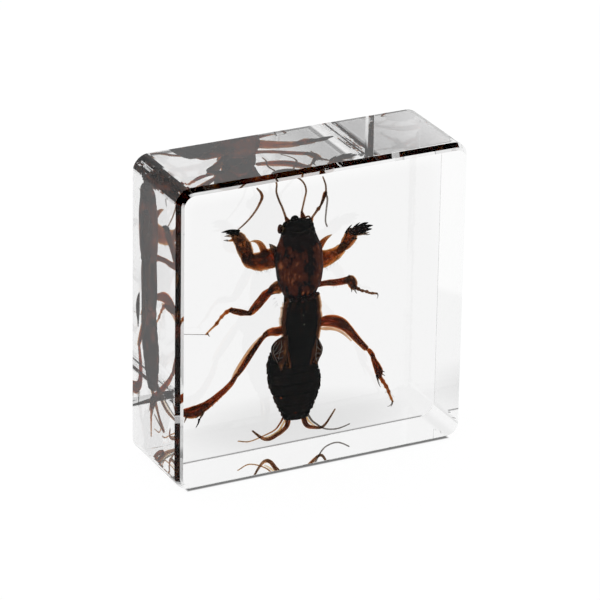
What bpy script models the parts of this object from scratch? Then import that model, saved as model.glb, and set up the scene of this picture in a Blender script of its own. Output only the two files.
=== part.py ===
"""A mole cricket cast in a square block of clear resin.

Dimensions are in millimetres and are turned into metres by the helpers.
The block stands on its narrow lower face. X runs to the right along the big faces, Y runs
from the front big face to the back one, and Z runs up. The origin is the middle of the
bottom. The insect hangs head up with its back to the front face, and it is rolled a little
about its own length. The resin is parted in two at the height of the insect's middle, with
a pocket that follows the insect, so that each half is one solid.
"""
import math

import bmesh
import bpy
from mathutils import Matrix, Vector

MM = 0.001

# The block
BLOCK_WIDTH = 45.0
BLOCK_DEPTH = 15.2
BLOCK_HEIGHT = 45.4
CORNER_RADIUS = 2.4
# Facets round each big face: inset from the sides, then depth from the face
FRONT_RIM = [(0.76, 0.0), (0.47, 0.40), (0.0, 1.22)]
BACK_RIM = [(0.1, 0.0), (0.0, 0.1)]
PARTING_GAP = 0.3
OPEN_PAST = 0.05
POCKET_GAP = 0.4
SHARPEST_BEND = math.radians(50)
CORNER_STEPS = 6
SMOOTH_BELOW = math.radians(40)
WELD = 0.00001
CUT_WELD = 0.000001

# The insect's trunk
ROLL = math.radians(-14)
TRUNK_SIDES = 18
LIMB_SIDES = 8

# Stations along the trunk: height, centre across, centre in depth, half width, half depth
HEAD = [
    (33.6, -2.25, -0.9, 2.50, 2.10),
    (35.0, -2.35, -0.9, 2.45, 2.10),
    (35.9, -2.45, -0.9, 2.15, 1.90),
    (36.6, -2.55, -0.9, 1.55, 1.50),
    (37.1, -2.75, -0.9, 0.85, 0.90),
    (37.6, -2.90, -0.9, 0.45, 0.50),
]
PRONOTUM = [
    (25.0, -1.75, -0.9, 2.70, 1.90),
    (25.5, -1.75, -0.9, 3.05, 2.20),
    (26.6, -1.80, -0.9, 3.30, 2.35),
    (28.6, -1.90, -0.9, 3.50, 2.45),
    (30.6, -2.00, -0.9, 3.55, 2.45),
    (32.4, -2.10, -0.9, 3.30, 2.40),
    (33.9, -2.20, -0.9, 2.90, 2.30),
    (34.8, -2.30, -0.9, 2.65, 2.15),
    (35.0, -2.30, -0.9, 2.30, 1.90),
]
THORAX = [
    (17.4, -2.40, -0.3, 3.00, 1.80),
    (20.0, -2.00, -0.4, 3.00, 2.05),
    (23.0, -1.95, -0.6, 3.00, 2.10),
    (26.0, -1.80, -0.8, 2.80, 2.05),
]
ABDOMEN_TOP = 19.0
ABDOMEN_END = 5.9
# Rear edge of each ring of the abdomen, with the ring's own half width and half depth
ABDOMEN_RINGS = [
    (17.1, -2.75, -0.2, 3.40, 1.85),
    (15.2, -2.90, 0.0, 3.75, 1.95),
    (13.5, -2.70, 0.1, 3.95, 1.95),
    (11.8, -2.35, 0.2, 4.05, 1.95),
    (10.1, -2.10, 0.3, 3.65, 1.85),
    (8.5, -2.05, 0.4, 3.05, 1.70),
    (7.1, -1.95, 0.5, 2.35, 1.45),
    (ABDOMEN_END, -2.00, 0.6, 1.75, 1.15),
]
ABDOMEN_START = (ABDOMEN_TOP, -2.5, -0.3, 2.6, 1.7)
RING_STEP = 0.16

# Folded wings: height, left edge, right edge, and how far they stand off the trunk
FOLDED_WINGS = [
    (24.9, -4.15, 0.75, 0.15),
    (23.0, -4.75, 1.10, 0.35),
    (20.5, -4.85, 1.20, 0.40),
    (18.0, -4.75, 0.95, 0.40),
    (16.0, -4.55, 0.75, 0.35),
    (14.3, -4.20, 0.45, 0.25),
]
WING_THICKNESS = 0.7
WING_STEPS = 6
WING_WRAP = 0.96

# Pleated hind wings that stick out past the folded ones: outline across and up
LEFT_FAN = [
    (-4.0, 18.9), (-5.2, 18.4), (-6.1, 17.2), (-5.9, 16.0), (-5.2, 14.9), (-4.6, 13.6), (-4.0, 15.0),
]
RIGHT_FAN = [
    (0.2, 18.9), (1.0, 18.7), (1.7, 17.2), (1.6, 15.9), (1.1, 15.0), (0.7, 14.1), (-0.1, 15.0),
]
FAN_THICKNESS = 0.4
LEFT_FAN_DEPTH = -2.2
RIGHT_FAN_DEPTH = -1.3

# Limbs: across, depth, up, half width seen from the front, half depth
LEFT_FORELEG = [
    (-4.2, 0.6, 31.2, 1.30, 1.10),
    (-6.2, 1.5, 30.9, 1.60, 1.10),
    (-7.8, 1.9, 30.7, 1.45, 0.95),
    (-9.1, 2.3, 31.1, 1.15, 0.85),
    (-9.5, 3.0, 32.1, 1.00, 0.75),
    (-9.9, 3.8, 33.2, 0.95, 0.65),
    (-10.4, 4.3, 34.1, 0.85, 0.55),
    (-10.9, 4.5, 34.7, 0.65, 0.45),
]
RIGHT_FORELEG = [
    (0.6, 0.5, 30.0, 1.30, 1.10),
    (3.1, 1.6, 29.5, 1.30, 1.10),
    (4.7, 2.4, 29.7, 1.10, 0.95),
    (6.0, 3.0, 30.2, 0.95, 0.85),
    (6.8, 3.6, 31.1, 1.00, 0.75),
    (7.3, 4.0, 31.9, 0.95, 0.65),
    (8.1, 4.1, 32.3, 0.75, 0.55),
    (8.9, 3.9, 32.4, 0.55, 0.45),
]
LEFT_MIDLEG = [
    (-4.0, 1.2, 26.9, 0.75, 0.75),
    (-5.2, 2.0, 26.2, 0.75, 0.70),
    (-6.0, 2.5, 25.1, 0.70, 0.60),
    (-7.1, 3.0, 23.4, 0.65, 0.55),
    (-8.0, 3.3, 22.7, 0.50, 0.45),
    (-9.2, 3.8, 22.6, 0.36, 0.34),
    (-10.6, 4.6, 22.9, 0.50, 0.42),
    (-11.4, 5.0, 23.1, 0.40, 0.36),
]
RIGHT_MIDLEG = [
    (-0.6, 0.3, 26.1, 0.60, 0.70),
    (1.0, 1.2, 25.9, 0.48, 0.55),
    (2.6, 2.0, 25.6, 0.42, 0.50),
    (5.0, 3.0, 24.9, 0.46, 0.50),
    (6.9, 3.9, 24.9, 0.44, 0.45),
    (7.9, 4.5, 24.5, 0.58, 0.50),
    (8.3, 5.1, 23.7, 0.55, 0.50),
    (8.4, 5.5, 23.2, 0.40, 0.40),
]
LEFT_HIND_FEMUR = [
    (-3.6, 0.9, 20.2, 0.75, 0.70),
    (-5.3, 1.6, 20.1, 0.60, 0.60),
    (-6.4, 1.9, 19.4, 0.55, 0.60),
    (-7.8, 2.1, 18.0, 0.80, 0.70),
    (-9.2, 2.2, 16.3, 0.95, 0.70),
    (-10.4, 2.2, 14.6, 0.80, 0.55),
    (-11.2, 2.2, 13.3, 0.45, 0.42),
]
LEFT_HIND_TIBIA = [
    (-11.1, 2.1, 13.6, 0.40, 0.40),
    (-11.7, 3.0, 12.2, 0.48, 0.45),
    (-12.8, 4.0, 10.9, 0.50, 0.50),
    (-14.1, 4.7, 9.7, 0.55, 0.55),
    (-15.5, 5.1, 8.8, 0.68, 0.60),
    (-17.2, 4.7, 8.8, 0.72, 0.55),
    (-18.8, 3.9, 9.2, 0.45, 0.40),
]
RIGHT_HIND_FEMUR = [
    (0.2, 0.4, 19.9, 0.80, 0.70),
    (2.3, 1.1, 19.8, 0.85, 0.70),
    (4.3, 1.6, 19.3, 1.00, 0.70),
    (5.9, 2.1, 18.2, 0.98, 0.70),
    (7.5, 2.5, 16.6, 0.78, 0.60),
    (8.9, 2.8, 15.1, 0.58, 0.50),
    (10.0, 3.0, 13.9, 0.45, 0.42),
]
RIGHT_HIND_TIBIA = [
    (9.9, 3.0, 14.2, 0.40, 0.40),
    (10.8, 3.1, 12.7, 0.42, 0.42),
    (11.5, 3.2, 11.2, 0.52, 0.50),
    (12.1, 3.3, 9.9, 0.58, 0.52),
    (12.4, 3.4, 8.9, 0.38, 0.36),
]

# Round strands: across, depth, up and radius
LEFT_MID_TARSUS = [
    (-11.2, 4.9, 23.2, 0.30), (-12.4, 5.1, 22.2, 0.22), (-13.4, 5.2, 21.3, 0.26), (-14.9, 5.4, 20.2, 0.17),
]
RIGHT_MID_TARSUS = [
    (8.2, 5.3, 23.5, 0.30), (9.1, 5.6, 22.7, 0.20), (10.6, 5.7, 21.9, 0.22), (12.2, 5.9, 21.3, 0.16),
]
LEFT_HIND_TARSUS = [
    (-18.6, 3.9, 9.3, 0.34), (-19.1, 3.6, 8.4, 0.28), (-19.4, 3.4, 6.6, 0.22), (-19.5, 3.3, 4.2, 0.17),
]
RIGHT_HIND_TARSUS = [
    (12.3, 3.4, 9.2, 0.32), (13.0, 3.5, 7.8, 0.24), (13.6, 3.6, 6.7, 0.24), (14.5, 3.8, 4.4, 0.18),
]
LEFT_ANTENNA = [
    (-3.9, -0.9, 35.9, 0.30), (-4.3, -0.9, 37.1, 0.24), (-4.9, -0.7, 38.7, 0.17), (-5.4, -0.6, 40.1, 0.16),
    (-5.7, -0.4, 41.3, 0.15), (-5.6, 0.2, 42.3, 0.15), (-5.7, 1.2, 42.9, 0.15),
]
RIGHT_ANTENNA = [
    (-2.0, -1.0, 36.2, 0.32), (-2.0, -1.0, 37.4, 0.26), (-1.75, -0.8, 38.7, 0.17), (-1.45, -0.7, 39.9, 0.16),
    (-1.25, -0.5, 40.8, 0.15), (-1.45, -0.2, 41.7, 0.15), (-2.0, 0.4, 42.4, 0.15), (-2.8, 1.3, 42.8, 0.15),
]
PALP = [
    (-0.8, -0.8, 35.2, 0.34), (-0.4, -0.6, 36.3, 0.20), (0.2, -0.5, 37.0, 0.20), (0.8, -0.4, 37.6, 0.24),
    (1.2, -0.2, 38.4, 0.22), (1.6, 0.0, 39.2, 0.34), (2.0, 0.1, 39.9, 0.20),
]
TRAILING_FEELER = [
    (1.9, 0.1, 39.6, 0.18), (2.5, 0.9, 38.9, 0.15), (2.7, 1.6, 37.5, 0.15), (2.6, 1.6, 35.5, 0.15),
    (2.8, 1.5, 34.4, 0.15),
]
RAISED_FEELER = [
    (1.9, 0.1, 39.6, 0.18), (2.3, 0.8, 40.4, 0.15), (2.1, 1.2, 41.3, 0.15), (1.8, 1.3, 42.0, 0.15),
]
CLAW_STRAND = [
    (-10.9, 4.5, 35.0, 0.18), (-9.7, 4.2, 35.8, 0.15), (-8.7, 4.0, 36.7, 0.15), (-7.8, 3.8, 37.8, 0.16),
    (-7.2, 3.6, 38.9, 0.18), (-6.9, 3.4, 39.8, 0.20), (-7.3, 3.2, 40.7, 0.20), (-8.0, 3.1, 41.4, 0.15),
]
LEFT_CERCUS = [
    (-3.1, 0.9, 6.6, 0.45), (-2.8, 2.2, 4.9, 0.45), (-3.0, 3.8, 3.5, 0.42), (-3.6, 5.4, 2.4, 0.36),
    (-4.3, 6.2, 1.7, 0.32), (-5.1, 6.4, 1.8, 0.30), (-6.1, 6.1, 2.5, 0.24), (-7.7, 4.8, 4.0, 0.15),
]
LEFT_STYLE = [
    (-3.4, 0.9, 6.8, 0.30), (-3.7, 2.8, 4.8, 0.22), (-4.1, 4.3, 3.6, 0.18), (-5.3, 5.9, 2.5, 0.16),
    (-7.5, 6.6, 1.8, 0.15), (-9.4, 6.3, 2.3, 0.15),
]
RIGHT_CERCUS = [
    (-0.8, 0.9, 6.6, 0.45), (0.0, 2.4, 4.5, 0.42), (0.9, 3.6, 3.3, 0.36), (2.4, 4.8, 2.5, 0.30),
    (3.5, 5.2, 2.2, 0.26), (4.0, 4.6, 2.8, 0.22), (4.3, 3.4, 4.0, 0.18), (4.7, 2.0, 5.6, 0.15),
]
RIGHT_STYLE = [
    (-0.4, 0.9, 6.8, 0.30), (1.3, 3.2, 4.3, 0.22), (2.7, 5.0, 2.9, 0.18), (4.1, 6.3, 1.7, 0.16),
    (5.3, 6.6, 1.2, 0.15), (6.5, 6.5, 1.1, 0.15), (7.4, 6.0, 1.4, 0.15), (8.1, 5.4, 1.8, 0.15),
]

# Claws and spines: base, tip and base radius
SPIKES = [
    ((-10.7, 4.4, 34.7), (-12.7, 4.6, 35.5), 0.36),
    ((-10.8, 4.4, 34.4), (-12.3, 4.4, 34.75), 0.32),
    ((-10.5, 4.3, 34.0), (-12.5, 4.3, 34.1), 0.30),
    ((-9.9, 3.9, 33.2), (-10.9, 4.0, 32.9), 0.30),
    ((8.6, 3.9, 32.5), (10.6, 3.8, 32.4), 0.36),
    ((8.5, 4.0, 32.6), (10.1, 4.3, 32.8), 0.32),
    ((8.4, 3.8, 32.2), (10.0, 3.5, 31.9), 0.30),
    ((7.8, 4.1, 32.4), (8.8, 4.5, 33.3), 0.28),
    ((7.0, 4.0, 32.1), (7.5, 4.4, 33.1), 0.28),
    ((-4.6, 0.2, 31.7), (-6.4, 0.7, 33.5), 0.60),
    ((0.3, -0.6, 32.0), (3.3, 0.6, 33.1), 0.60),
    ((-15.4, 5.0, 8.6), (-15.9, 5.3, 6.4), 0.30),
    ((-17.8, 4.4, 8.8), (-18.2, 5.0, 7.2), 0.26),
    ((12.2, 3.3, 9.6), (12.5, 3.7, 7.6), 0.26),
    ((12.2, 3.3, 9.8), (13.1, 3.0, 8.9), 0.24),
    ((8.2, 5.2, 23.6), (8.8, 5.6, 22.2), 0.26),
    ((-11.2, 4.9, 23.0), (-11.6, 5.5, 22.2), 0.24),
]
SPIKE_TIP = 0.06

# Hooked joint piece at the base of the left foreleg: across, depth, up and radius
TROCHANTER_HOOK = [
    (-6.3, 1.4, 31.7, 0.40), (-7.0, 1.7, 32.5, 0.36), (-7.5, 2.3, 33.4, 0.32), (-8.2, 3.0, 33.7, 0.28),
    (-9.2, 3.7, 33.5, 0.28),
]

EYES = [(-4.35, -1.2, 35.9), (-0.75, -1.9, 35.8)]
EYE_RADIUS = 0.62
MOUTH = (-1.3, -1.0, 36.4)
MOUTH_RADIUS = 0.75


def clear_scene():
    for item in list(bpy.data.objects):
        bpy.data.objects.remove(item, do_unlink=True)


def collection(name):
    group = bpy.data.collections.new(name)
    bpy.context.scene.collection.children.link(group)
    return group


def material(name, colour, roughness, transmission=0.0, ior=1.5):
    mat = bpy.data.materials.new(name)
    mat.use_nodes = True
    shader = mat.node_tree.nodes["Principled BSDF"]
    shader.inputs["Base Color"].default_value = (*colour, 1.0)
    shader.inputs["Roughness"].default_value = roughness
    shader.inputs["Metallic"].default_value = 0.0
    shader.inputs["Transmission Weight"].default_value = transmission
    shader.inputs["IOR"].default_value = ior
    return mat


def add_object(name, bm, group):
    """Turn a bmesh in millimetres into a hidden object in metres."""
    bmesh.ops.recalc_face_normals(bm, faces=bm.faces)
    bmesh.ops.scale(bm, vec=(MM, MM, MM), verts=bm.verts)
    mesh = bpy.data.meshes.new(name)
    bm.to_mesh(mesh)
    bm.free()
    item = bpy.data.objects.new(name, mesh)
    group.objects.link(item)
    item.hide_render = True
    item.display_type = "WIRE"
    return item


def show(item, mat):
    """Make a built solid one of the visible parts."""
    item.hide_render = False
    item.display_type = "TEXTURED"
    item.data.materials.append(mat)


def smooth(item):
    item.data.shade_smooth()
    item.data.set_sharp_from_angle(angle=SMOOTH_BELOW)


def combine(item, name, operation, others):
    """Add a Boolean with every object of a collection and weld the slivers it leaves."""
    boolean = item.modifiers.new(name, "BOOLEAN")
    boolean.operation = operation
    boolean.operand_type = "COLLECTION"
    boolean.collection = others
    boolean.solver = "EXACT"
    weld = item.modifiers.new("weld", "WELD")
    weld.merge_threshold = CUT_WELD


def solid_from_curve(name, curve, group):
    """Turn a filled curve into a hidden, welded solid in world coordinates."""
    group.objects.link(curve)
    bpy.context.view_layer.update()
    evaluated = curve.evaluated_get(bpy.context.evaluated_depsgraph_get())
    mesh = bpy.data.meshes.new_from_object(evaluated)
    bm = bmesh.new()
    bm.from_mesh(mesh)
    bm.transform(curve.matrix_world)
    bmesh.ops.remove_doubles(bm, verts=bm.verts, dist=WELD)
    bmesh.ops.scale(bm, vec=(1 / MM, 1 / MM, 1 / MM), verts=bm.verts)
    bpy.data.objects.remove(curve, do_unlink=True)
    return add_object(name, bm, group)


def loft(name, rings, group):
    """Close a tube through rings that have the same number of points."""
    bm = bmesh.new()
    loops = [[bm.verts.new(point) for point in ring] for ring in rings]
    for lower, upper in zip(loops, loops[1:]):
        for i in range(len(lower)):
            j = (i + 1) % len(lower)
            bm.faces.new((lower[i], lower[j], upper[j], upper[i]))
    bm.faces.new(loops[0])
    bm.faces.new(loops[-1])
    return add_object(name, bm, group)


def trunk_point(height, across, depth, half_width, half_depth, angle):
    """A point on the rolled oval section of the trunk. Angle 0 is to the right, 90 to the back."""
    u = half_width * math.cos(angle)
    v = half_depth * math.sin(angle)
    x = across + u * math.cos(ROLL) - v * math.sin(ROLL)
    y = depth + u * math.sin(ROLL) + v * math.cos(ROLL)
    return (x, y, height)


def trunk_rings(stations, grow=0.0):
    return [
        [
            trunk_point(z, x, y, a + grow, b + grow, math.tau * k / TRUNK_SIDES)
            for k in range(TRUNK_SIDES)
        ]
        for z, x, y, a, b in stations
    ]


def abdomen_stations():
    """Each ring of the abdomen swells and then steps in where the next one starts."""
    stations = [ABDOMEN_START]
    for z, x, y, a, b in ABDOMEN_RINGS:
        stations.append((z, x, y, a, b))
        stations.append((z - RING_STEP, x, y, a - RING_STEP, b - RING_STEP))
    return stations[:-1]


def stretched(stations, extra):
    """Carry the two ends of a row of trunk stations on by a length."""
    rows = sorted(stations)
    first, last = rows[0], rows[-1]
    return [(first[0] - extra, *first[1:])] + rows[1:-1] + [(last[0] + extra, *last[1:])]


def limb_rings(stations, sides=LIMB_SIDES):
    """Oval sections square to the limb's run, with their width across the line of sight."""
    points = [Vector(s[:3]) for s in stations]
    rings = []
    for i, (x, y, z, half_width, half_depth) in enumerate(stations):
        ahead = points[min(i + 1, len(points) - 1)]
        behind = points[max(i - 1, 0)]
        run = (ahead - behind).normalized()
        wide = run.cross(Vector((0, 1, 0))).normalized()
        deep = wide.cross(run).normalized()
        ring = []
        for k in range(sides):
            angle = math.tau * (k + 0.5) / sides
            across = wide * half_width * math.cos(angle)
            ring.append(points[i] + across + deep * half_depth * math.sin(angle))
        rings.append(ring)
    return rings


def strand(name, points, group):
    """A round tapering tube along a row of points."""
    data = bpy.data.curves.new(name, "CURVE")
    data.dimensions = "3D"
    data.bevel_depth = MM
    data.bevel_resolution = 1
    data.use_fill_caps = True
    spline = data.splines.new("POLY")
    spline.points.add(len(points) - 1)
    for target, (x, y, z, radius) in zip(spline.points, points):
        target.co = (x * MM, y * MM, z * MM, 1.0)
        target.radius = radius
    return solid_from_curve(name, bpy.data.objects.new(name + "_curve", data), group)


def spike(name, base, tip, radius, group):
    """A claw or spine: a slim cone from its base to its tip."""
    start, end = Vector(base), Vector(tip)
    run = end - start
    bm = bmesh.new()
    bmesh.ops.create_cone(
        bm, cap_ends=True, segments=6, radius1=radius, radius2=SPIKE_TIP, depth=run.length
    )
    turn = Vector((0, 0, 1)).rotation_difference(run).to_matrix().to_4x4()
    place = Matrix.Translation((start + end) / 2) @ turn
    bmesh.ops.transform(bm, matrix=place, verts=bm.verts)
    return add_object(name, bm, group)


def ball(name, centre, radius, group):
    bm = bmesh.new()
    bmesh.ops.create_uvsphere(bm, u_segments=10, v_segments=6, radius=radius)
    bmesh.ops.translate(bm, vec=centre, verts=bm.verts)
    return add_object(name, bm, group)


def trunk_at(height):
    """Centre and half sizes of the trunk below the folded wings."""
    rows = sorted(THORAX + ABDOMEN_RINGS)
    for low, high in zip(rows, rows[1:]):
        if low[0] <= height <= high[0]:
            t = (height - low[0]) / (high[0] - low[0])
            return [a + (b - a) * t for a, b in zip(low[1:], high[1:])]
    return list(rows[-1][1:])


def folded_wings(name, group, grow=0.0):
    """A shell over the back: curved strips that follow the trunk's oval."""
    rings = []
    for i, (z, left, right, stand_off) in enumerate(FOLDED_WINGS):
        x, y, a, b = trunk_at(z)
        z += grow * ((i == 0) - (i == len(FOLDED_WINGS) - 1))
        left -= grow
        right += grow
        stand_off += grow
        outer, inner = [], []
        for k in range(WING_STEPS + 1):
            across = left + (right - left) * k / WING_STEPS
            share = max(-WING_WRAP, min(WING_WRAP, (across - x) / (a + stand_off)))
            drop = (b + stand_off) * math.sqrt(1 - share * share)
            roll_drop = (across - x) * math.sin(ROLL)
            outer.append((across, y - drop + roll_drop, z))
            inner.append((across, y - drop + roll_drop + WING_THICKNESS + stand_off, z))
        rings.append(outer + inner[::-1])
    return loft(name, rings, group)


def fan(name, outline, depth, group):
    """A pleated wing: a flat outline with a small thickness."""
    data = bpy.data.curves.new(name, "CURVE")
    data.dimensions = "2D"
    data.fill_mode = "BOTH"
    data.extrude = FAN_THICKNESS / 2 * MM
    spline = data.splines.new("POLY")
    spline.points.add(len(outline) - 1)
    for target, (x, z) in zip(spline.points, outline):
        target.co = (x * MM, z * MM, 0.0, 1.0)
    spline.use_cyclic_u = True
    curve = bpy.data.objects.new(name + "_curve", data)
    curve.rotation_euler = (math.radians(90), 0.0, ROLL)
    curve.location = (0.0, depth * MM, 0.0)
    return solid_from_curve(name, curve, group)


LIMBS = {
    "left_foreleg": LEFT_FORELEG,
    "right_foreleg": RIGHT_FORELEG,
    "left_midleg": LEFT_MIDLEG,
    "right_midleg": RIGHT_MIDLEG,
    "left_hind_femur": LEFT_HIND_FEMUR,
    "left_hind_tibia": LEFT_HIND_TIBIA,
    "right_hind_femur": RIGHT_HIND_FEMUR,
    "right_hind_tibia": RIGHT_HIND_TIBIA,
}
STRANDS = {
    "trochanter_hook": TROCHANTER_HOOK,
    "left_mid_tarsus": LEFT_MID_TARSUS,
    "right_mid_tarsus": RIGHT_MID_TARSUS,
    "left_hind_tarsus": LEFT_HIND_TARSUS,
    "right_hind_tarsus": RIGHT_HIND_TARSUS,
    "left_antenna": LEFT_ANTENNA,
    "right_antenna": RIGHT_ANTENNA,
    "palp": PALP,
    "trailing_feeler": TRAILING_FEELER,
    "raised_feeler": RAISED_FEELER,
    "claw_strand": CLAW_STRAND,
    "left_cercus": LEFT_CERCUS,
    "left_style": LEFT_STYLE,
    "right_cercus": RIGHT_CERCUS,
    "right_style": RIGHT_STYLE,
}


def mole_cricket(group, pieces):
    """Fuse trunk, wings and limbs into one solid."""
    abdomen = loft("mole_cricket", trunk_rings(abdomen_stations()), group)
    loft("head", trunk_rings(HEAD), pieces)
    loft("pronotum", trunk_rings(PRONOTUM), pieces)
    loft("thorax", trunk_rings(THORAX), pieces)
    folded_wings("folded_wings", pieces)
    fan("left_fan", LEFT_FAN, LEFT_FAN_DEPTH, pieces)
    fan("right_fan", RIGHT_FAN, RIGHT_FAN_DEPTH, pieces)
    for name, stations in LIMBS.items():
        loft(name, limb_rings(stations), pieces)
    for name, points in STRANDS.items():
        strand(name, points, pieces)
    for number, (base, tip, radius) in enumerate(SPIKES):
        spike(f"spike_{number}", base, tip, radius, pieces)
    for number, centre in enumerate(EYES):
        ball(f"eye_{number}", centre, EYE_RADIUS, pieces)
    ball("mouth", MOUTH, MOUTH_RADIUS, pieces)
    combine(abdomen, "fuse", "UNION", pieces)
    for item in (abdomen, *pieces.objects):
        smooth(item)
    show(abdomen, material("dark_cuticle", (0.035, 0.016, 0.010), 0.35))
    return abdomen


def split_at_bends(stations):
    """Cut a row of stations where its run, seen from the front, turns sharply."""
    runs = [[stations[0]]]
    for i in range(1, len(stations)):
        runs[-1].append(stations[i])
        if i == len(stations) - 1:
            break
        before = Vector((stations[i][0] - stations[i - 1][0], stations[i][2] - stations[i - 1][2]))
        after = Vector((stations[i + 1][0] - stations[i][0], stations[i + 1][2] - stations[i][2]))
        if before.angle(after) > SHARPEST_BEND:
            runs.append([stations[i]])
    return runs


def slot(name, stations, group):
    """Room for a limb: a channel round it that is open at the parting plane."""
    for number, run in enumerate(split_at_bends(stations)):
        rings = []
        last = len(run) - 1
        for i, (x, y, z, half_width, half_depth) in enumerate(run):
            ahead, behind = run[min(i + 1, last)], run[max(i - 1, 0)]
            along = Vector((ahead[0] - behind[0], ahead[2] - behind[2])).normalized()
            reach = half_width + POCKET_GAP
            push = reach * ((i == last) - (i == 0))
            cx, cz = x + along.x * push, z + along.y * push
            low = min(-OPEN_PAST, y - half_depth - POCKET_GAP)
            high = max(OPEN_PAST, y + half_depth + POCKET_GAP)
            left = (cx - along.y * reach, cz + along.x * reach)
            right = (cx + along.y * reach, cz - along.x * reach)
            rings.append([
                (left[0], low, left[1]),
                (left[0], high, left[1]),
                (right[0], high, right[1]),
                (right[0], low, right[1]),
            ])
        loft(f"{name}_{number}", rings, group)


def rounded_outline(inset):
    """The block seen from the front, drawn in by an inset: straight sides and four arcs."""
    radius = CORNER_RADIUS - inset
    points = []
    for corner, (sx, top) in enumerate(((1, True), (-1, True), (-1, False), (1, False))):
        cx = sx * (BLOCK_WIDTH / 2 - CORNER_RADIUS)
        cz = BLOCK_HEIGHT - CORNER_RADIUS if top else CORNER_RADIUS
        for k in range(CORNER_STEPS + 1):
            angle = math.radians(90 * corner + 90 * k / CORNER_STEPS)
            points.append((cx + radius * math.cos(angle), cz + radius * math.sin(angle)))
    return points


def resin_half(name, front, pocket, group, mat):
    """One half of the block, from a big face to the parting plane."""
    side = -1 if front else 1
    face = side * BLOCK_DEPTH / 2
    rings = [
        [(x, face - side * depth, z) for x, z in rounded_outline(inset)]
        for inset, depth in (FRONT_RIM if front else BACK_RIM)
    ]
    rings.append([(x, side * PARTING_GAP / 2, z) for x, z in rounded_outline(0.0)])
    half = loft(name, rings, group)
    combine(half, "pocket", "DIFFERENCE", pocket)
    show(half, mat)
    return half


def pocket_cutters(group):
    trunk = sorted(THORAX[:1] + ABDOMEN_RINGS)
    loft("room_abdomen", trunk_rings(stretched(trunk, POCKET_GAP), POCKET_GAP), group)
    loft("room_thorax", trunk_rings(stretched(THORAX, POCKET_GAP), POCKET_GAP), group)
    loft("room_pronotum", trunk_rings(stretched(PRONOTUM, POCKET_GAP), POCKET_GAP), group)
    loft("room_head", trunk_rings(stretched(HEAD, POCKET_GAP), POCKET_GAP), group)
    folded_wings("room_folded_wings", group, POCKET_GAP)
    fans = (("left", LEFT_FAN, LEFT_FAN_DEPTH), ("right", RIGHT_FAN, RIGHT_FAN_DEPTH))
    for name, outline, depth in fans:
        across = [x for x, z in outline]
        heights = [z for x, z in outline]
        middle = (min(across) + max(across)) / 2
        half_width = (max(across) - min(across)) / 2
        y = depth + middle * math.sin(ROLL)
        thickness = FAN_THICKNESS / 2 + half_width * abs(math.sin(ROLL))
        ends = [(middle, y, z, half_width, thickness) for z in (min(heights), max(heights))]
        slot(f"room_{name}_fan", ends, group)
    balls = [(*eye, EYE_RADIUS) for eye in EYES] + [(*MOUTH, MOUTH_RADIUS)]
    for number, (x, y, z, radius) in enumerate(balls):
        ends = [(x, y, end, radius, radius) for end in (z - radius / 2, z + radius / 2)]
        slot(f"room_ball_{number}", ends, group)
    for name, stations in LIMBS.items():
        slot("room_" + name, stations, group)
    for name, points in STRANDS.items():
        slot("room_" + name, [(x, y, z, r, r) for x, y, z, r in points], group)
    for number, (base, tip, radius) in enumerate(SPIKES):
        slot(f"room_spike_{number}", [(*base, radius, radius), (*tip, SPIKE_TIP, SPIKE_TIP)], group)


def main():
    clear_scene()
    parts = collection("insect_in_resin_block")
    pieces = collection("insect_pieces")
    pocket = collection("pocket_cutters")
    mole_cricket(parts, pieces)
    pocket_cutters(pocket)
    resin = material("clear_resin", (1.0, 1.0, 1.0), 0.02, transmission=1.0, ior=1.54)
    resin_half("resin_front_half", True, pocket, parts, resin)
    resin_half("resin_back_half", False, pocket, parts, resin)


main()
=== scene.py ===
import math
import random
import bmesh
import bpy
import numpy as np
from mathutils import Matrix, Vector, noise


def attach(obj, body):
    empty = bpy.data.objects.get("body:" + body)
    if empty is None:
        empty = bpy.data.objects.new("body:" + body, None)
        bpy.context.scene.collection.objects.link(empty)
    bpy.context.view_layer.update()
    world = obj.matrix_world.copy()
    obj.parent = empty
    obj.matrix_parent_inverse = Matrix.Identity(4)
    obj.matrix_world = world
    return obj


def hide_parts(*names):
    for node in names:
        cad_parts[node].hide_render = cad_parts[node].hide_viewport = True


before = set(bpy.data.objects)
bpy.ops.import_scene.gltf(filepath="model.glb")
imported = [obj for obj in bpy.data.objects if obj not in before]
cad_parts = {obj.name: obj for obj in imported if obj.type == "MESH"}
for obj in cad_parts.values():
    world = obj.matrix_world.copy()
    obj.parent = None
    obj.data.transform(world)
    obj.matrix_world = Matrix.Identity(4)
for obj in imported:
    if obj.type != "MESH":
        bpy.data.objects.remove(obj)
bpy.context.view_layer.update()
random.seed(7)
mm = 0.001


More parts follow.
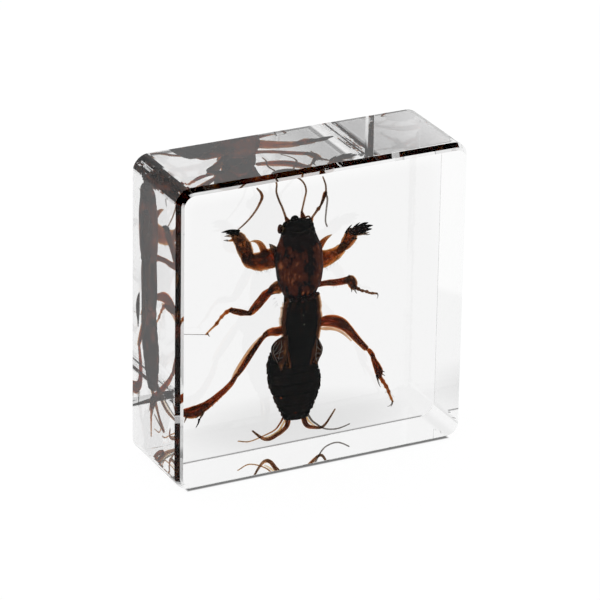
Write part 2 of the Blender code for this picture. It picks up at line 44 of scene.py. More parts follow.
class Wire:
    # a shader socket that can be used in plain sums and products

    def __init__(self, tree, socket=None):
        self.tree = tree
        self.socket = socket

    def node(self, kind, settings=None, values=None, output=0):
        made = self.tree.nodes.new(kind)
        for key, value in (settings or {}).items():
            setattr(made, key, value)
        self.fill(made, values or {})
        return Wire(self.tree, made.outputs[output])

    def fill(self, made, values):
        # each input of a node from another socket or a plain value
        for key, value in values.items():
            if isinstance(value, Wire):
                self.tree.links.new(value.socket, made.inputs[key])
            else:
                made.inputs[key].default_value = value

    def math(self, operation, *others):
        return self.node("ShaderNodeMath", {"operation": operation}, dict(enumerate((self, *others))))

    def __add__(self, other):
        return self.math("ADD", other)

    __radd__ = __add__

    def __mul__(self, other):
        return self.math("MULTIPLY", other)

    __rmul__ = __mul__

    def __sub__(self, other):
        return self.math("SUBTRACT", other)

    def __rsub__(self, other):
        return self.node("ShaderNodeMath", {"operation": "SUBTRACT"}, {0: other, 1: self})

    def between(self, low, high, start=0.0, end=1.0):
        # eased from start to end as the value goes from low to high
        return self.node("ShaderNodeMapRange", {"interpolation_type": "SMOOTHSTEP"},
                         {0: self, 1: low, 2: high, 3: start, 4: end})

    def axes(self):
        outputs = self.node("ShaderNodeSeparateXYZ", {}, {0: self}).socket.node.outputs
        return [Wire(self.tree, socket) for socket in outputs]

    def stretched(self, factors):
        return self.node("ShaderNodeVectorMath", {"operation": "MULTIPLY"}, {0: self, 1: factors})

    def length(self):
        return self.node("ShaderNodeVectorMath", {"operation": "LENGTH"}, {0: self}, 1)

    def blend(self, low, high):
        # a colour between two, by this socket
        low, high = (c if isinstance(c, Wire) else (*c, 1.0) for c in (low, high))
        return self.node("ShaderNodeMix", {"data_type": "RGBA"}, {0: self, 6: low, 7: high}, 2)

    def grey(self):
        return self.blend((0, 0, 0), (1, 1, 1))

    def noise(self, scale, detail, roughness, distortion=0.0):
        return self.node("ShaderNodeTexNoise", {}, {
            "Vector": self, "Scale": scale, "Detail": detail, "Roughness": roughness,
            "Distortion": distortion,
        })


def newMaterial(name):
    mat = bpy.data.materials.new(name)
    mat.use_nodes = True
    tree = mat.node_tree
    return mat, Wire(tree), tree.nodes["Principled BSDF"], tree.nodes["Material Output"]


def addSoak(wires, out, tint, density):
    # what passes through the piece is soaked up by its thickness
    soak = wires.node("ShaderNodeVolumeAbsorption", {}, {"Color": (*tint, 1.0), "Density": density})
    wires.fill(out, {"Volume": soak})


skin = {
    # shares of streaks, fine grain and broad patches in the mottling, and how broad the patches are
    "streaks": 0.6, "grain": 0.1, "patches": 0.3, "patchScale": 0.25,
    # shares of grain and streaks in the bumps, their depth in mm and how much grain roughens
    "bumpGrain": 0.6, "bumpStreaks": 0.4, "bumpDepth": 0.12, "roughen": 0.2,
    # where dark skin turns light and less solid, and where an edge starts and ends
    "solidRange": (0.1, 0.9), "rimRange": (0.45, 0.95),
}


def cuticle(name, look):
    # insect skin: dark, middle and light colours by a mark and by noise, see-through where the
    # look gives the share of solid skin
    mat, wires, shader, out = newMaterial(name)
    shape = wires.node("ShaderNodeAttribute", {"attribute_name": "shape"}, output=1)
    mark = wires.node("ShaderNodeAttribute", {"attribute_name": "mark"}, output=2)
    place = wires.node("ShaderNodeTexCoord", output=3)
    streaks = shape.stretched(look["streaks"]).noise(1.0, 3.0, 0.6, 0.3)
    grain = place.noise(look["grain"], 2.0, 0.6)
    broad = place.noise(look["grain"] * skin["patchScale"], 2.0, 0.5)
    mottling = streaks * skin["streaks"] + grain * skin["grain"] + broad * skin["patches"]
    level = (mottling - 0.5) * look["uneven"] + mark + look["level"]
    darker = level.between(0.0, 0.5).blend(look["dark"], look["mid"])
    bump = wires.node("ShaderNodeBump", {}, {
        "Strength": look["bump"], "Distance": skin["bumpDepth"] * mm,
        "Height": grain * skin["bumpGrain"] + streaks * skin["bumpStreaks"],
    })
    wires.fill(shader, {
        "Base Color": level.between(0.5, 1.0).blend(darker, look["light"]), "Normal": bump,
        "Roughness": look["rough"] + skin["roughen"] * (grain - 0.5), "Specular IOR Level": look["shine"],
    })
    if "solid" in look:
        light, dark = look["solid"]
        solid = level.between(*skin["solidRange"], dark, light)
        across = shape.axes()[0]
        solid = solid + (across * across).between(*skin["rimRange"]) * (look["rim"] - solid)
        if "margin" in look:
            solid = 1.0 - (1.0 - solid) * mark.between(*look["margin"])
        wires.fill(shader, {"Alpha": solid})
        addSoak(wires, out, look["tint"], look["soak"])
    return mat


# meshes are drawn up in millimetres

def catmull(rows, steps):
    # a smooth row of stations through the given ones
    rows = np.array(rows, float)
    padded = np.vstack([2 * rows[0] - rows[1], rows, 2 * rows[-1] - rows[-2]])
    out = []
    for i in range(1, len(padded) - 2):
        a, b, c, d = padded[i - 1:i + 3]
        for k in range(steps):
            t = k / steps
            out.append(0.5 * (2 * b + (c - a) * t + (2 * a - 5 * b + 4 * c - d) * t * t
                              + (3 * b - a - 3 * c + d) * t ** 3))
    out.append(rows[-1])
    return np.array(out)


def bands(count, sides):
    # the faces between rings of equal length
    faces = []
    for first in range(0, (count - 1) * sides, sides):
        for k in range(sides):
            j = (k + 1) % sides
            faces.append((first + k, first + j, first + sides + j, first + sides + k))
    return faces


def shell(rings, shape, ends=(0, 0)):
    # one closed skin over rings, with a fan at both ends, and its shape values: across, along
    # and around
    count, sides = len(rings), len(rings[0])
    faces = bands(count, sides)
    verts = [p for ring in rings for p in ring]
    for first, ring in ((0, rings[0]), ((count - 1) * sides, rings[-1])):
        verts.append(np.mean(ring, axis=0))
        hub = len(verts) - 1
        for k in range(sides):
            j = (k + 1) % sides
            faces.append((hub, first + j, first + k) if first == 0 else (hub, first + k, first + j))
    shape = list(shape) + [(0, ends[0], 0), (0, ends[1], 0)]
    return np.array(verts, float), faces, np.array(shape, float), np.zeros(len(verts))


# a tube's rounded end: share of its width, and how far out as a share of its depth
roundCaps = ((0.35, 0.60), (0.75, 0.35), (0.95, 0.12))


def tube(rows, sides=14, steps=4, lump=0.0, joints=(), seed=0.0, roundEnds=True):
    # a limb or strand: rows of across, depth, up, half width and half depth
    rows = catmull([(*r, r[3]) if len(r) == 4 else r for r in rows], steps)
    points = rows[:, :3]
    runs = np.gradient(points, axis=0)
    runs /= np.linalg.norm(runs, axis=1)[:, None]
    along = np.concatenate([[0], np.cumsum(np.linalg.norm(np.diff(points, axis=0), axis=1))])
    rings, shape = [], []

    def addRing(centre, run, halfWidth, halfDepth, length):
        wide = np.cross(run, (0, 1, 0))
        wide /= np.linalg.norm(wide)
        deep = np.cross(wide, run)
        ring = []
        for k in range(sides):
            angle = math.tau * k / sides
            p = centre + wide * halfWidth * math.cos(angle) + deep * halfDepth * math.sin(angle)
            if lump:
                ripple = noise.noise(Vector(p) * 1.4 + Vector((seed, 0, 0)))
                ripple += 0.5 * noise.noise(Vector(p) * 3.5 + Vector((0, seed, 0)))
                p = centre + (p - centre) * (1 + lump * ripple)
            ring.append(p)
            shape.append((math.cos(angle), length + seed, k / sides))
        rings.append(ring)

    def addCap(end, way, caps):
        for size, out in caps:
            centre = points[end] + way * runs[end] * rows[end, 4] * out
            addRing(centre, runs[end], rows[end, 3] * size, rows[end, 4] * size, along[end])

    caps = roundCaps if roundEnds else ()
    addCap(0, -1, caps)
    for i in range(len(points)):
        size = 1.0
        for spot, change, reach in joints:
            size += change * math.exp(-((along[i] - spot) / reach) ** 2)
        addRing(points[i], runs[i], rows[i, 3] * size, rows[i, 4] * size, along[i])
    addCap(-1, 1, caps[::-1])
    return shell(rings, shape, (seed, along[-1] + seed))


def ball(centre, radii, sides=20, rows=12, lump=0.0):
    rings, shape = [], []
    for i in range(1, rows):
        tilt = math.pi * i / rows
        ring = []
        for k in range(sides):
            angle = math.tau * k / sides
            p = Vector((radii[0] * math.sin(tilt) * math.cos(angle),
                        radii[1] * math.sin(tilt) * math.sin(angle), radii[2] * math.cos(tilt)))
            p *= 1 + lump * noise.noise((p + Vector(centre)) * 1.7)
            ring.append(np.array(p + Vector(centre)))
            shape.append((math.sin(tilt) * math.cos(angle), radii[2] * math.cos(tilt), k / sides))
        rings.append(ring)
    return shell(rings, shape)


def bent(base, tip, bend, steps):
    # places from base to tip, bowed by bend in the middle, each with its share of the way
    base, tip, bend = Vector(base), Vector(tip), Vector(bend)
    for k in range(steps + 1):
        t = k / steps
        yield t, base.lerp(tip, t) + bend * math.sin(math.pi * t)


def horn(base, tip, radius, bend=(0, 0, 0), flat=0.8):
    # a claw or spine with a curved point
    rows = []
    for t, p in bent(base, tip, bend, 6):
        size = radius * (1 - t) ** 0.8 + 0.03
        rows.append((*p, size, size * flat))
    return tube(rows, 10, 2, roundEnds=False)


def hair(base, tip, bend, radius=0.022):
    rows = [(*p, radius * (1.05 - 0.85 * t)) for t, p in bent(base, tip, bend, 3)]
    return tube(rows, 3, 1, roundEnds=False)


# a thin wing's rings from front to back: share of its outline and side of its middle
plateRings = ((0.35, 1), (0.7, 1), (0.96, 1), (1.0, 0), (0.96, -1), (0.7, -1), (0.35, -1))


def plate(outline, depth, thickness):
    # a thin flat wing: an outline across and up, turned with the trunk
    ring = catmull(outline + outline[:1], 5)[:-1]
    middle = ring.mean(axis=0)
    rings, shape = [], []
    for size, side in plateRings:
        loop = middle + (ring - middle) * size
        y = depth + loop[:, 0] * math.sin(roll) + side * thickness / 2
        rings.append([np.array((x, d, z)) for (x, z), d in zip(loop, y)])
        shape += [((x - middle[0]) / 1.5, z, size) for x, z in loop]
    return shell(rings, shape)


def marked(parts, rule):
    # the same parts with their mark set from a rule on each point
    return [(v, f, s, np.array([rule(p, q) for p, q in zip(v, s)])) for v, f, s, m in parts]


def newMesh(name, verts, faces):
    # a mesh whose faces all look outward
    mesh = bpy.data.meshes.new(name)
    mesh.from_pydata((np.array(verts) * mm).tolist(), [], faces)
    bm = bmesh.new()
    bm.from_mesh(mesh)
    bmesh.ops.recalc_face_normals(bm, faces=bm.faces)
    bm.to_mesh(mesh)
    bm.free()
    return mesh


def newObject(name, data):
    made = bpy.data.objects.new(name, data)
    bpy.context.scene.collection.objects.link(made)
    return made


def addPiece(name, mesh, mat, nodes):
    piece = newObject(name, mesh)
    mesh.materials.append(mat)
    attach(piece, "root")
    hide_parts(*nodes)


def insectPiece(name, parts, look, sharp=50):
    verts, faceLists, shapes, marks = zip(*parts)
    faces, start = [], 0
    for v, f in zip(verts, faceLists):
        faces += [tuple(i + start for i in face) for face in f]
        start += len(v)
    mesh = newMesh(name, np.vstack(verts), faces)
    shape = mesh.attributes.new("shape", "FLOAT_VECTOR", "POINT")
    shape.data.foreach_set("vector", np.vstack(shapes).astype(np.float32).ravel())
    mark = mesh.attributes.new("mark", "FLOAT", "POINT")
    mark.data.foreach_set("value", np.concatenate(marks).astype(np.float32))
    mesh.shade_smooth()
    mesh.set_sharp_from_angle(angle=math.radians(sharp))
    addPiece(name, mesh, mats[look], ["mole_cricket"])


viewpoint = {
    # where the photograph's camera stands, in mm, and which way its right and its top point
    "place": (-251.83026, -493.06173, 266.12612),
    "right": (0.89372854, -0.44831671, 0.01616886),
    "up": (0.16734708, 0.36661709, 0.91519772),
    "lens": 257.96,
    "sensor": 36,
}


def addCamera():
    data = bpy.data.cameras.new("camera")
    camera = newObject("camera", data)
    right, up = Vector(viewpoint["right"]), Vector(viewpoint["up"])
    place = Matrix((right, up, right.cross(up))).transposed().to_4x4()
    place.translation = Vector(viewpoint["place"]) * mm
    camera.matrix_world = place
    data.sensor_width = viewpoint["sensor"]
    data.lens = viewpoint["lens"]
    data.clip_start = 0.01
    data.clip_end = 20
    bpy.context.scene.camera = camera


studio = {
    # brightness behind the block, overhead and on the camera's side
    "behind": 1.0, "overhead": 0.75, "cameraSide": 0.10,
    # where it turns from the camera's side to behind, and from there to overhead
    "depthRange": (-0.35, 0.55), "heightRange": (0.35, 0.95),
    # how much is taken off the darkest tones
    "blackLevel": 0.044,
}


def addSurroundings():
    # soft studio light: bright behind and overhead, dim on the camera's side
    world = bpy.data.worlds.new("studio")
    bpy.context.scene.world = world
    world.use_nodes = True
    wires = Wire(world.node_tree)
    x, y, z = wires.node("ShaderNodeTexCoord", output=0).axes()
    level = y.between(*studio["depthRange"], studio["cameraSide"], studio["behind"])
    level = level + z.between(*studio["heightRange"]) * (studio["overhead"] - level)
    wires.fill(world.node_tree.nodes["Background"], {"Color": level.grey(), "Strength": 1.0})


floor = {
    "size": 8000,
    "drop": 0.05,
    # the floor's glow, a painted pool of light: brightness near the block and far from it, and where the
    # change starts and ends
    "near": 0.96, "far": 0.65, "fade": (250, 650),
    # the long soft shadow painted into the glow: how dark, how far right it leans, and where its edges
    # start and end
    "shadow": 0.065, "lean": 0.51, "shadowLeft": (-22, -18.5), "shadowRight": (22.7, 29.5),
    "shadowFront": (7, 8), "shadowBack": (91, 98.5),
    # the painted shadow close behind the block: how dark, its middle and its half sizes
    "closeShadow": 0.14, "closeMiddle": (3, 14), "closeSize": (20, 100 / 9),
    # the block's foot: its middle in depth, half width and half depth
    "footMiddle": 0.56, "footSize": (20.1, 6.94),
    # the painted shade under the block: how dark under its left part and under its right end, where
    # the change starts and ends, and how far outside the foot the shade starts to end and ends
    "underLeft": 0.05, "underRight": 0.55, "underRange": (5, 19), "underEdge": (-0.6, -0.1),
    # the thin painted contact shadow round the foot: how dark, and where its inner and its outer edge start
    # and end
    "contactShadow": 0.8, "contactInner": (-0.5, -0.1), "contactOuter": (0.3, 0.8),
    # the floor's own grey, beside its glow
    "grey": 0.08,
}


def addFloor():
    # a pale glowing floor a hair under the block, with the block's soft shadows painted into its glow
    bpy.ops.mesh.primitive_plane_add(size=floor["size"] * mm, location=(0, 0, -floor["drop"] * mm))
    plane = bpy.context.object
    plane.name = "floor"
    mat, wires, shader, out = newMaterial("pale_floor")
    place = wires.node("ShaderNodeTexCoord", output=3).stretched((1 / mm, 1 / mm, 1 / mm))
    x, y, z = place.axes()
    glow = place.length().between(*floor["fade"], floor["near"], floor["far"])
    # a long soft shadow and a patch close behind the block, painted into the glow
    side = x - (y - block["depth"] / 2) * floor["lean"]
    shadow = side.between(*floor["shadowLeft"]) * side.between(*floor["shadowRight"], 1, 0)
    shadow = shadow * y.between(*floor["shadowFront"]) * y.between(*floor["shadowBack"], 1, 0)
    middle, size = floor["closeMiddle"], floor["closeSize"]
    closeShade = ((x - middle[0]) * (1 / size[0])).math("POWER", 2)
    closeShade = closeShade + ((y - middle[1]) * (1 / size[1])).math("POWER", 2)
    glow = glow * (1 - shadow * floor["shadow"]) * closeShade.between(0, 1, 1 - floor["closeShadow"], 1)
    # how far outside the block's foot a place is
    across = x.math("ABSOLUTE") - floor["footSize"][0]
    deep = (y - floor["footMiddle"]).math("ABSOLUTE") - floor["footSize"][1]
    outward = across.math("MAXIMUM", deep)
    # painted shade under the block, and a thin painted contact shadow round its foot
    underShade = outward.between(*floor["underEdge"], 1, 0)
    underShade = underShade * x.between(*floor["underRange"], floor["underLeft"], floor["underRight"])
    contactShade = outward.between(*floor["contactInner"]) * outward.between(*floor["contactOuter"], 1, 0)
    glow = glow * (1 - underShade) * (1 - contactShade * floor["contactShadow"])
    wires.fill(shader, {
        "Base Color": (*[floor["grey"]] * 3, 1), "Specular IOR Level": 0.0,
        "Emission Color": glow.grey(), "Emission Strength": 1.0,
    })
    plane.data.materials.append(mat)


block = {
    "width": 45.0,
    "depth": 15.2,
    "height": 45.4,
    "corner": 2.4,
    "cornerSteps": 14,
    # inset from the side and depth from the big face, for the front rim and the back one
    "frontRim": [(0.76, 0), (0.47, 0.40), (0, 1.22)],
    "backRim": [(0.03, 0), (0, 0.03)],
    # a hair smaller, to stay inside the measured box
    "shrink": 0.999999,
    "ior": 1.54,
    # how much light a metre of resin takes
    "soak": 2.5,
}


def blockRing(inset, y):
    w, h, r = block["width"], block["height"], block["corner"]
    corners = ((w / 2 - r, h - r, 0), (r - w / 2, h - r, 90), (r - w / 2, r, 180), (w / 2 - r, r, 270))
    ring = []
    for x, z, start in corners:
        for k in range(block["cornerSteps"] + 1):
            angle = math.radians(start + 90 * k / block["cornerSteps"])
            ring.append((x + (r - inset) * math.cos(angle), y, z + (r - inset) * math.sin(angle)))
    return ring


def addBlock():
    half = block["depth"] / 2
    rings = [blockRing(i, -half + d) for i, d in block["frontRim"]]
    rings += [blockRing(i, half - d) for i, d in block["backRim"][::-1]]
    verts = np.vstack(rings) * block["shrink"]
    sides = len(rings[0])
    bigFaces = [range(sides), range(len(verts) - sides, len(verts))]
    mesh = newMesh("resin_block", verts, bands(len(rings), sides) + bigFaces)
    mat, wires, shader, out = newMaterial("clear_resin_look")
    wires.fill(shader, {
        "Base Color": (1, 1, 1, 1), "Transmission Weight": 1.0, "Roughness": 0.0, "IOR": block["ior"],
    })
    addSoak(wires, out, (0, 0, 0), block["soak"])
    addPiece("resin_block", mesh, mat, ["resin_front_half", "resin_back_half"])


# the insect's looks. solid is the share of solid skin in light and in dark places, rim the share
# at the edges, and tint and soak tell how the rest takes light. plainSkin holds where none is said
plainSkin = dict(grain=1600, rough=0.5, shine=0.12, bump=0.2)
looks = {
    "shield": dict(
        dark=(0.008, 0.004, 0.004), mid=(0.085, 0.017, 0.007), light=(0.42, 0.13, 0.045), level=0.13,
        uneven=2.8, streaks=(5, 0.9, 6), grain=800, rough=0.55, shine=0.1, bump=0.35),
    "black": dict(
        dark=(0.006, 0.006, 0.006), mid=(0.016, 0.011, 0.009), light=(0.28, 0.07, 0.04), level=0.1,
        uneven=1.6, streaks=(3, 0.6, 12), rough=0.7, shine=0.05, bump=0.12),
    "wing": dict(
        dark=(0.006, 0.006, 0.006), mid=(0.085, 0.027, 0.012), light=(0.28, 0.12, 0.045), level=-0.08,
        uneven=1.9, streaks=(9, 0.12, 3), rough=0.65, shine=0.06, bump=0.12, solid=(0.12, 0.9), rim=0.12,
        margin=(0.55, 0.95), tint=(0.8, 0.48, 0.15), soak=6500),
    "membrane": dict(
        dark=(0.012, 0.005, 0.004), mid=(0.07, 0.024, 0.01), light=(0.22, 0.09, 0.03), level=0.22,
        uneven=3, streaks=(3, 0.6, 2), shine=0.1),
    "brownLeg": dict(
        dark=(0.01, 0.004, 0.003), mid=(0.06, 0.02, 0.009), light=(0.4, 0.19, 0.07), level=0.4, uneven=4,
        streaks=(2, 0.8, 5), grain=2000, bump=0.4, solid=(0.15, 0.9), rim=0.05, tint=(0.77, 0.42, 0.05),
        soak=3000),
    "goldLeg": dict(
        dark=(0.016, 0.006, 0.003), mid=(0.11, 0.038, 0.01), light=(0.5, 0.24, 0.07), level=0.48,
        uneven=4.8, streaks=(2.2, 0.9, 5), grain=1800, rough=0.45, shine=0.15, bump=0.3, solid=(0.1, 0.68),
        rim=0.03, tint=(0.8, 0.45, 0), soak=2200),
    "leg": dict(
        dark=(0.014, 0.005, 0.003), mid=(0.08, 0.026, 0.008), light=(0.46, 0.21, 0.07), level=0.41,
        uneven=4.6, streaks=(2, 0.6, 6), grain=1800, shine=0.15, bump=0.3, solid=(0.3, 0.88), rim=0.03,
        tint=(0.84, 0.44, 0), soak=5200),
    "redLeg": dict(
        dark=(0.018, 0.005, 0.003), mid=(0.09, 0.025, 0.007), light=(0.5, 0.23, 0.07), level=0.46,
        uneven=4.2, streaks=(2.6, 0.45, 6), grain=1500, rough=0.45, shine=0.15, bump=0.3,
        solid=(0.25, 0.85), rim=0.03, tint=(0.84, 0.44, 0), soak=4200),
    "shin": dict(
        dark=(0.016, 0.005, 0.003), mid=(0.075, 0.024, 0.008), light=(0.44, 0.2, 0.06), level=0.4,
        uneven=4.2, streaks=(2.6, 0.45, 6), grain=1500, bump=0.3, solid=(0.3, 0.9), rim=0.03,
        tint=(0.83, 0.42, 0), soak=6000),
    "darkLeg": dict(
        dark=(0.008, 0.003, 0.003), mid=(0.034, 0.01, 0.006), light=(0.22, 0.08, 0.03), level=0.26,
        uneven=1.8, streaks=(2, 0.5, 6), bump=0.3, solid=(0.25, 0.92), rim=0.25, tint=(0.66, 0.2, 0),
        soak=3000),
    "core": dict(
        dark=(0.008, 0.003, 0.003), mid=(0.034, 0.01, 0.006), light=(0.1, 0.03, 0.015), level=0.5,
        uneven=1, streaks=(2.4, 0.5, 6), grain=1500, shine=0.1, bump=0.1, solid=(0.03, 0.15), rim=0.03,
        tint=(0.66, 0.14, 0.06), soak=6500),
    "amber": dict(
        dark=(0.03, 0.01, 0.003), mid=(0.12, 0.044, 0.01), light=(0.42, 0.21, 0.07), level=0.48,
        uneven=3.8, streaks=(2, 0.8, 5), rough=0.45, shine=0.15, solid=(0.03, 0.55), rim=0.08,
        tint=(0.8, 0.46, 0.06), soak=8000),
    "honey": dict(
        dark=(0.05, 0.02, 0.008), mid=(0.28, 0.15, 0.06), light=(0.6, 0.4, 0.2), level=0.5, uneven=2.4,
        streaks=(2, 0.6, 4), grain=1500, rough=0.45, shine=0.2, solid=(0.02, 0.3), rim=0.2,
        tint=(0.84, 0.48, 0.09), soak=5200),
    "pale": dict(
        dark=(0.1, 0.05, 0.02), mid=(0.45, 0.3, 0.14), light=(0.8, 0.66, 0.42), level=0.6, uneven=1.4,
        streaks=(2, 0.6, 4), grain=1400, rough=0.4, shine=0.3, bump=0.15, solid=(0.02, 0.2), rim=0.35,
        tint=(0.9, 0.7, 0.35), soak=4200),
    "feeler": dict(
        dark=(0.016, 0.007, 0.004), mid=(0.07, 0.03, 0.012), light=(0.3, 0.15, 0.05), level=0.36,
        uneven=2.6, streaks=(1.5, 3, 3), shine=0.15, bump=0.1, solid=(0.15, 0.7), rim=0.3,
        tint=(0.7, 0.38, 0.08), soak=6500),
    "thread": dict(
        dark=(0.07, 0.055, 0.045), mid=(0.15, 0.12, 0.1), light=(0.3, 0.26, 0.22), level=0.4, uneven=1,
        streaks=(1, 2, 2), shine=0.1, bump=0.1, solid=(0.3, 0.55), rim=0.4, tint=(0.62, 0.55, 0.48),
        soak=5000),
    "tail": dict(
        dark=(0.008, 0.004, 0.003), mid=(0.045, 0.018, 0.008), light=(0.3, 0.14, 0.05), level=0.38,
        uneven=3.8, streaks=(2, 0.6, 4), solid=(0.05, 0.75), rim=0.12, tint=(0.73, 0.38, 0.04), soak=4200),
    "claw": dict(
        dark=(0.005, 0.005, 0.005), mid=(0.012, 0.01, 0.009), light=(0.25, 0.12, 0.06), level=0.12,
        uneven=0.8, streaks=(2, 0.8, 6), grain=1500, rough=0.7, shine=0.04, bump=0.05),
    "vein": dict(
        dark=(0.1, 0.09, 0.08), mid=(0.32, 0.29, 0.25), light=(0.6, 0.54, 0.42), level=0.5, uneven=2,
        streaks=(1, 2, 3), grain=1800, shine=0.1, bump=0.1),
}
mats = {name: cuticle("cuticle_" + name, {**plainSkin, **look}) for name, look in looks.items()}

roll = math.radians(-14)  # how far the trunk is rolled about its length
# stations up the trunk: height, centre across, centre in depth, half width, half depth
head = [
    (33.8, -2.35, -0.9, 2.5, 2.1), (35.2, -2.6, -0.9, 2.55, 2.1), (35.9, -2.7, -0.95, 2.38, 1.95),
    (36.35, -2.7, -1, 2.02, 1.6), (36.65, -2.75, -1, 1.62, 1.2), (36.8, -2.75, -1, 1.1, 0.8),
]
pronotum = [
    (25, -2, -0.9, 2.1, 1.75), (25.6, -2.05, -0.9, 2.55, 2.05), (26.8, -2.09, -0.9, 3.12, 2.3),
    (28.3, -2.14, -0.9, 3.45, 2.42), (29.8, -2.23, -0.9, 3.58, 2.45), (31.5, -2.38, -0.9, 3.62, 2.45),
    (32.5, -2.42, -0.9, 3.42, 2.4), (33.5, -2.4, -0.9, 3.02, 2.32), (34.3, -2.45, -0.9, 2.72, 2.2),
    (34.9, -2.5, -0.9, 2.5, 2.05), (35.1, -2.5, -0.9, 2.25, 1.85),
]
thorax = [
    (17, -2.35, -0.2, 2, 1.6), (18.2, -2.3, -0.3, 1.95, 1.75), (20, -2.1, -0.4, 2.28, 1.95),
    (21.5, -2, -0.5, 2.38, 2), (23, -2, -0.6, 2.42, 2.02), (26, -2, -0.8, 2.4, 2),
]
# what the folded wings lie over
wingBed = [
    (15.2, -2.9, 0, 3.75, 1.95), (17.4, -2.4, -0.3, 3, 1.8), (20, -2, -0.4, 3, 2.05),
    (23, -1.95, -0.6, 3, 2.1), (26, -1.8, -0.8, 2.8, 2.05),
]
abdomenStart = (18.2, -2.45, -0.2, 2.5, 1.6)
abdomenRings = [
    (17.1, -2.75, -0.2, 3.3, 1.8), (15.2, -2.9, 0, 3.72, 1.9), (13.5, -2.7, 0.1, 3.92, 1.9),
    (11.8, -2.35, 0.2, 4, 1.9), (10.1, -2.1, 0.3, 3.6, 1.8), (8.5, -2.05, 0.4, 3.02, 1.65),
    (7.1, -1.95, 0.5, 2.35, 1.42), (5.9, -2, 0.6, 1.75, 1.15),
]
# the folded wings: height, left edge, right edge, how far they stand off
foldedWings = [
    (25.4, -4.35, 0.6, 0.15), (24, -4.85, 0.85, 0.3), (23, -5.05, 1, 0.35), (21.5, -5.15, 1.1, 0.4),
    (20, -4.95, 1.05, 0.4), (18.6, -4.75, 0.85, 0.4), (17.2, -4.55, 0.55, 0.38), (16, -4.4, 0.35, 0.32),
    (14.6, -4.25, 0.2, 0.25),
]
# a trunk piece's end: share of its width and how far out
trunkCaps = ((0.5, 0.10), (0.85, 0.05))


def ovalPoint(station, angle):
    z, x, y, a, b = station
    u, v = a * math.cos(angle), b * math.sin(angle)
    return np.array((
        x + u * math.cos(roll) - v * math.sin(roll), y + u * math.sin(roll) + v * math.cos(roll), z,
    ))


def trunk(stations, sides, steps, swell=None, smooth=True):
    rows = catmull(stations, steps) if smooth else np.array(stations)
    turns = [math.tau * k / sides for k in range(sides)]
    rings, shape = [], []

    def addRing(row, change=None):
        centre = np.array((row[1], row[2], row[0]))
        ring = []
        for angle in turns:
            p = ovalPoint(row, angle)
            ring.append(centre + (p - centre) * (1 + change(p, angle)) if change else p)
            shape.append((math.cos(angle), row[0], angle / math.tau))
        rings.append(ring)

    def addCap(row, other, caps):
        step = np.sign(row[0] - other[0])
        for size, out in caps:
            addRing((row[0] + step * out, row[1], row[2], row[3] * size, row[4] * size))

    addCap(rows[0], rows[-1], trunkCaps)
    for row in rows:
        addRing(row, swell)
    addCap(rows[-1], rows[0], trunkCaps[::-1])
    return shell(rings, shape, (rows[0, 0], rows[-1, 0]))


def spots(rows, backLevel=0):
    # a rule that adds soft spots: across, up, half width, half height, strength. The trunk's back
    # side has a level of its own
    def rule(p, s):
        if p[1] > 0.3:
            return backLevel + 0.35 * noise.noise(Vector(p) * 0.7)
        total = 0.0
        for x, z, a, b, strength in rows:
            total += strength * math.exp(-((p[0] - x) / a) ** 2 - ((p[2] - z) / b) ** 2)
        return max(-0.7, min(1.0, total))
    return rule


shieldMarks = [
    (-5.35, 34.2, 0.55, 0.9, 0.55), (-5.35, 33, 0.35, 0.7, 0.2), (-5.3, 30.5, 0.42, 0.62, 0.85),
    (-5.05, 28.9, 0.5, 0.5, 0.25), (0.35, 30, 0.75, 2.6, 0.4), (0.2, 33.4, 0.5, 1.3, 0.25),
    (-4, 29.2, 1.1, 1.9, 0.28), (-4.2, 27.6, 0.7, 0.8, 0.3), (-2.9, 30.6, 0.8, 1.9, 0.22),
    (-2.3, 31.2, 0.12, 1, 0.3), (-0.3, 27.4, 0.6, 0.9, 0.25), (-2.15, 26, 0.16, 0.35, 0.75),
    (-1.35, 25.95, 0.16, 0.45, 0.6), (-1.1, 29.8, 0.42, 2.6, -0.45), (-0.55, 32.3, 0.3, 0.25, 0.3),
    (-2.6, 34.2, 2, 1.1, -0.8), (-6, 31.6, 0.5, 1.3, -0.5), (-5.9, 28.8, 0.3, 1.6, -0.3),
    (-2.5, 25.2, 2.2, 0.5, -0.35), (-1.6, 28.6, 0.5, 0.5, 0.15), (-3.4, 26.6, 0.4, 0.6, 0.2),
]
abdomenMarks = [
    (-3.97, 12.7, 0.22, 0.45, 0.45), (-4.6, 9.7, 0.18, 0.12, 1), (-4.9, 8.7, 0.15, 0.4, 0.45),
    (-1.3, 8.4, 0.14, 1.1, 0.42), (-1.1, 7.2, 0.25, 0.5, 0.35), (-2.4, 7.1, 0.5, 0.12, 0.6),
    (-5.2, 15.3, 0.25, 0.9, 0.35), (-0.2, 12.9, 0.2, 0.4, 0.2),
]
# small lobes along the shield's rear edge: middle and half sizes
rearLobes = [
    ((-3.75, -1.95, 25.25), (0.42, 0.3, 0.4)), ((-2.95, -2.5, 25.1), (0.46, 0.32, 0.5)),
    ((-2.1, -2.8, 24.95), (0.48, 0.32, 0.55)), ((-1.25, -2.95, 25.05), (0.44, 0.32, 0.48)),
    ((-0.5, -2.95, 25.2), (0.45, 0.3, 0.42)), ((0.1, -2.8, 25.45), (0.4, 0.3, 0.36)),
]
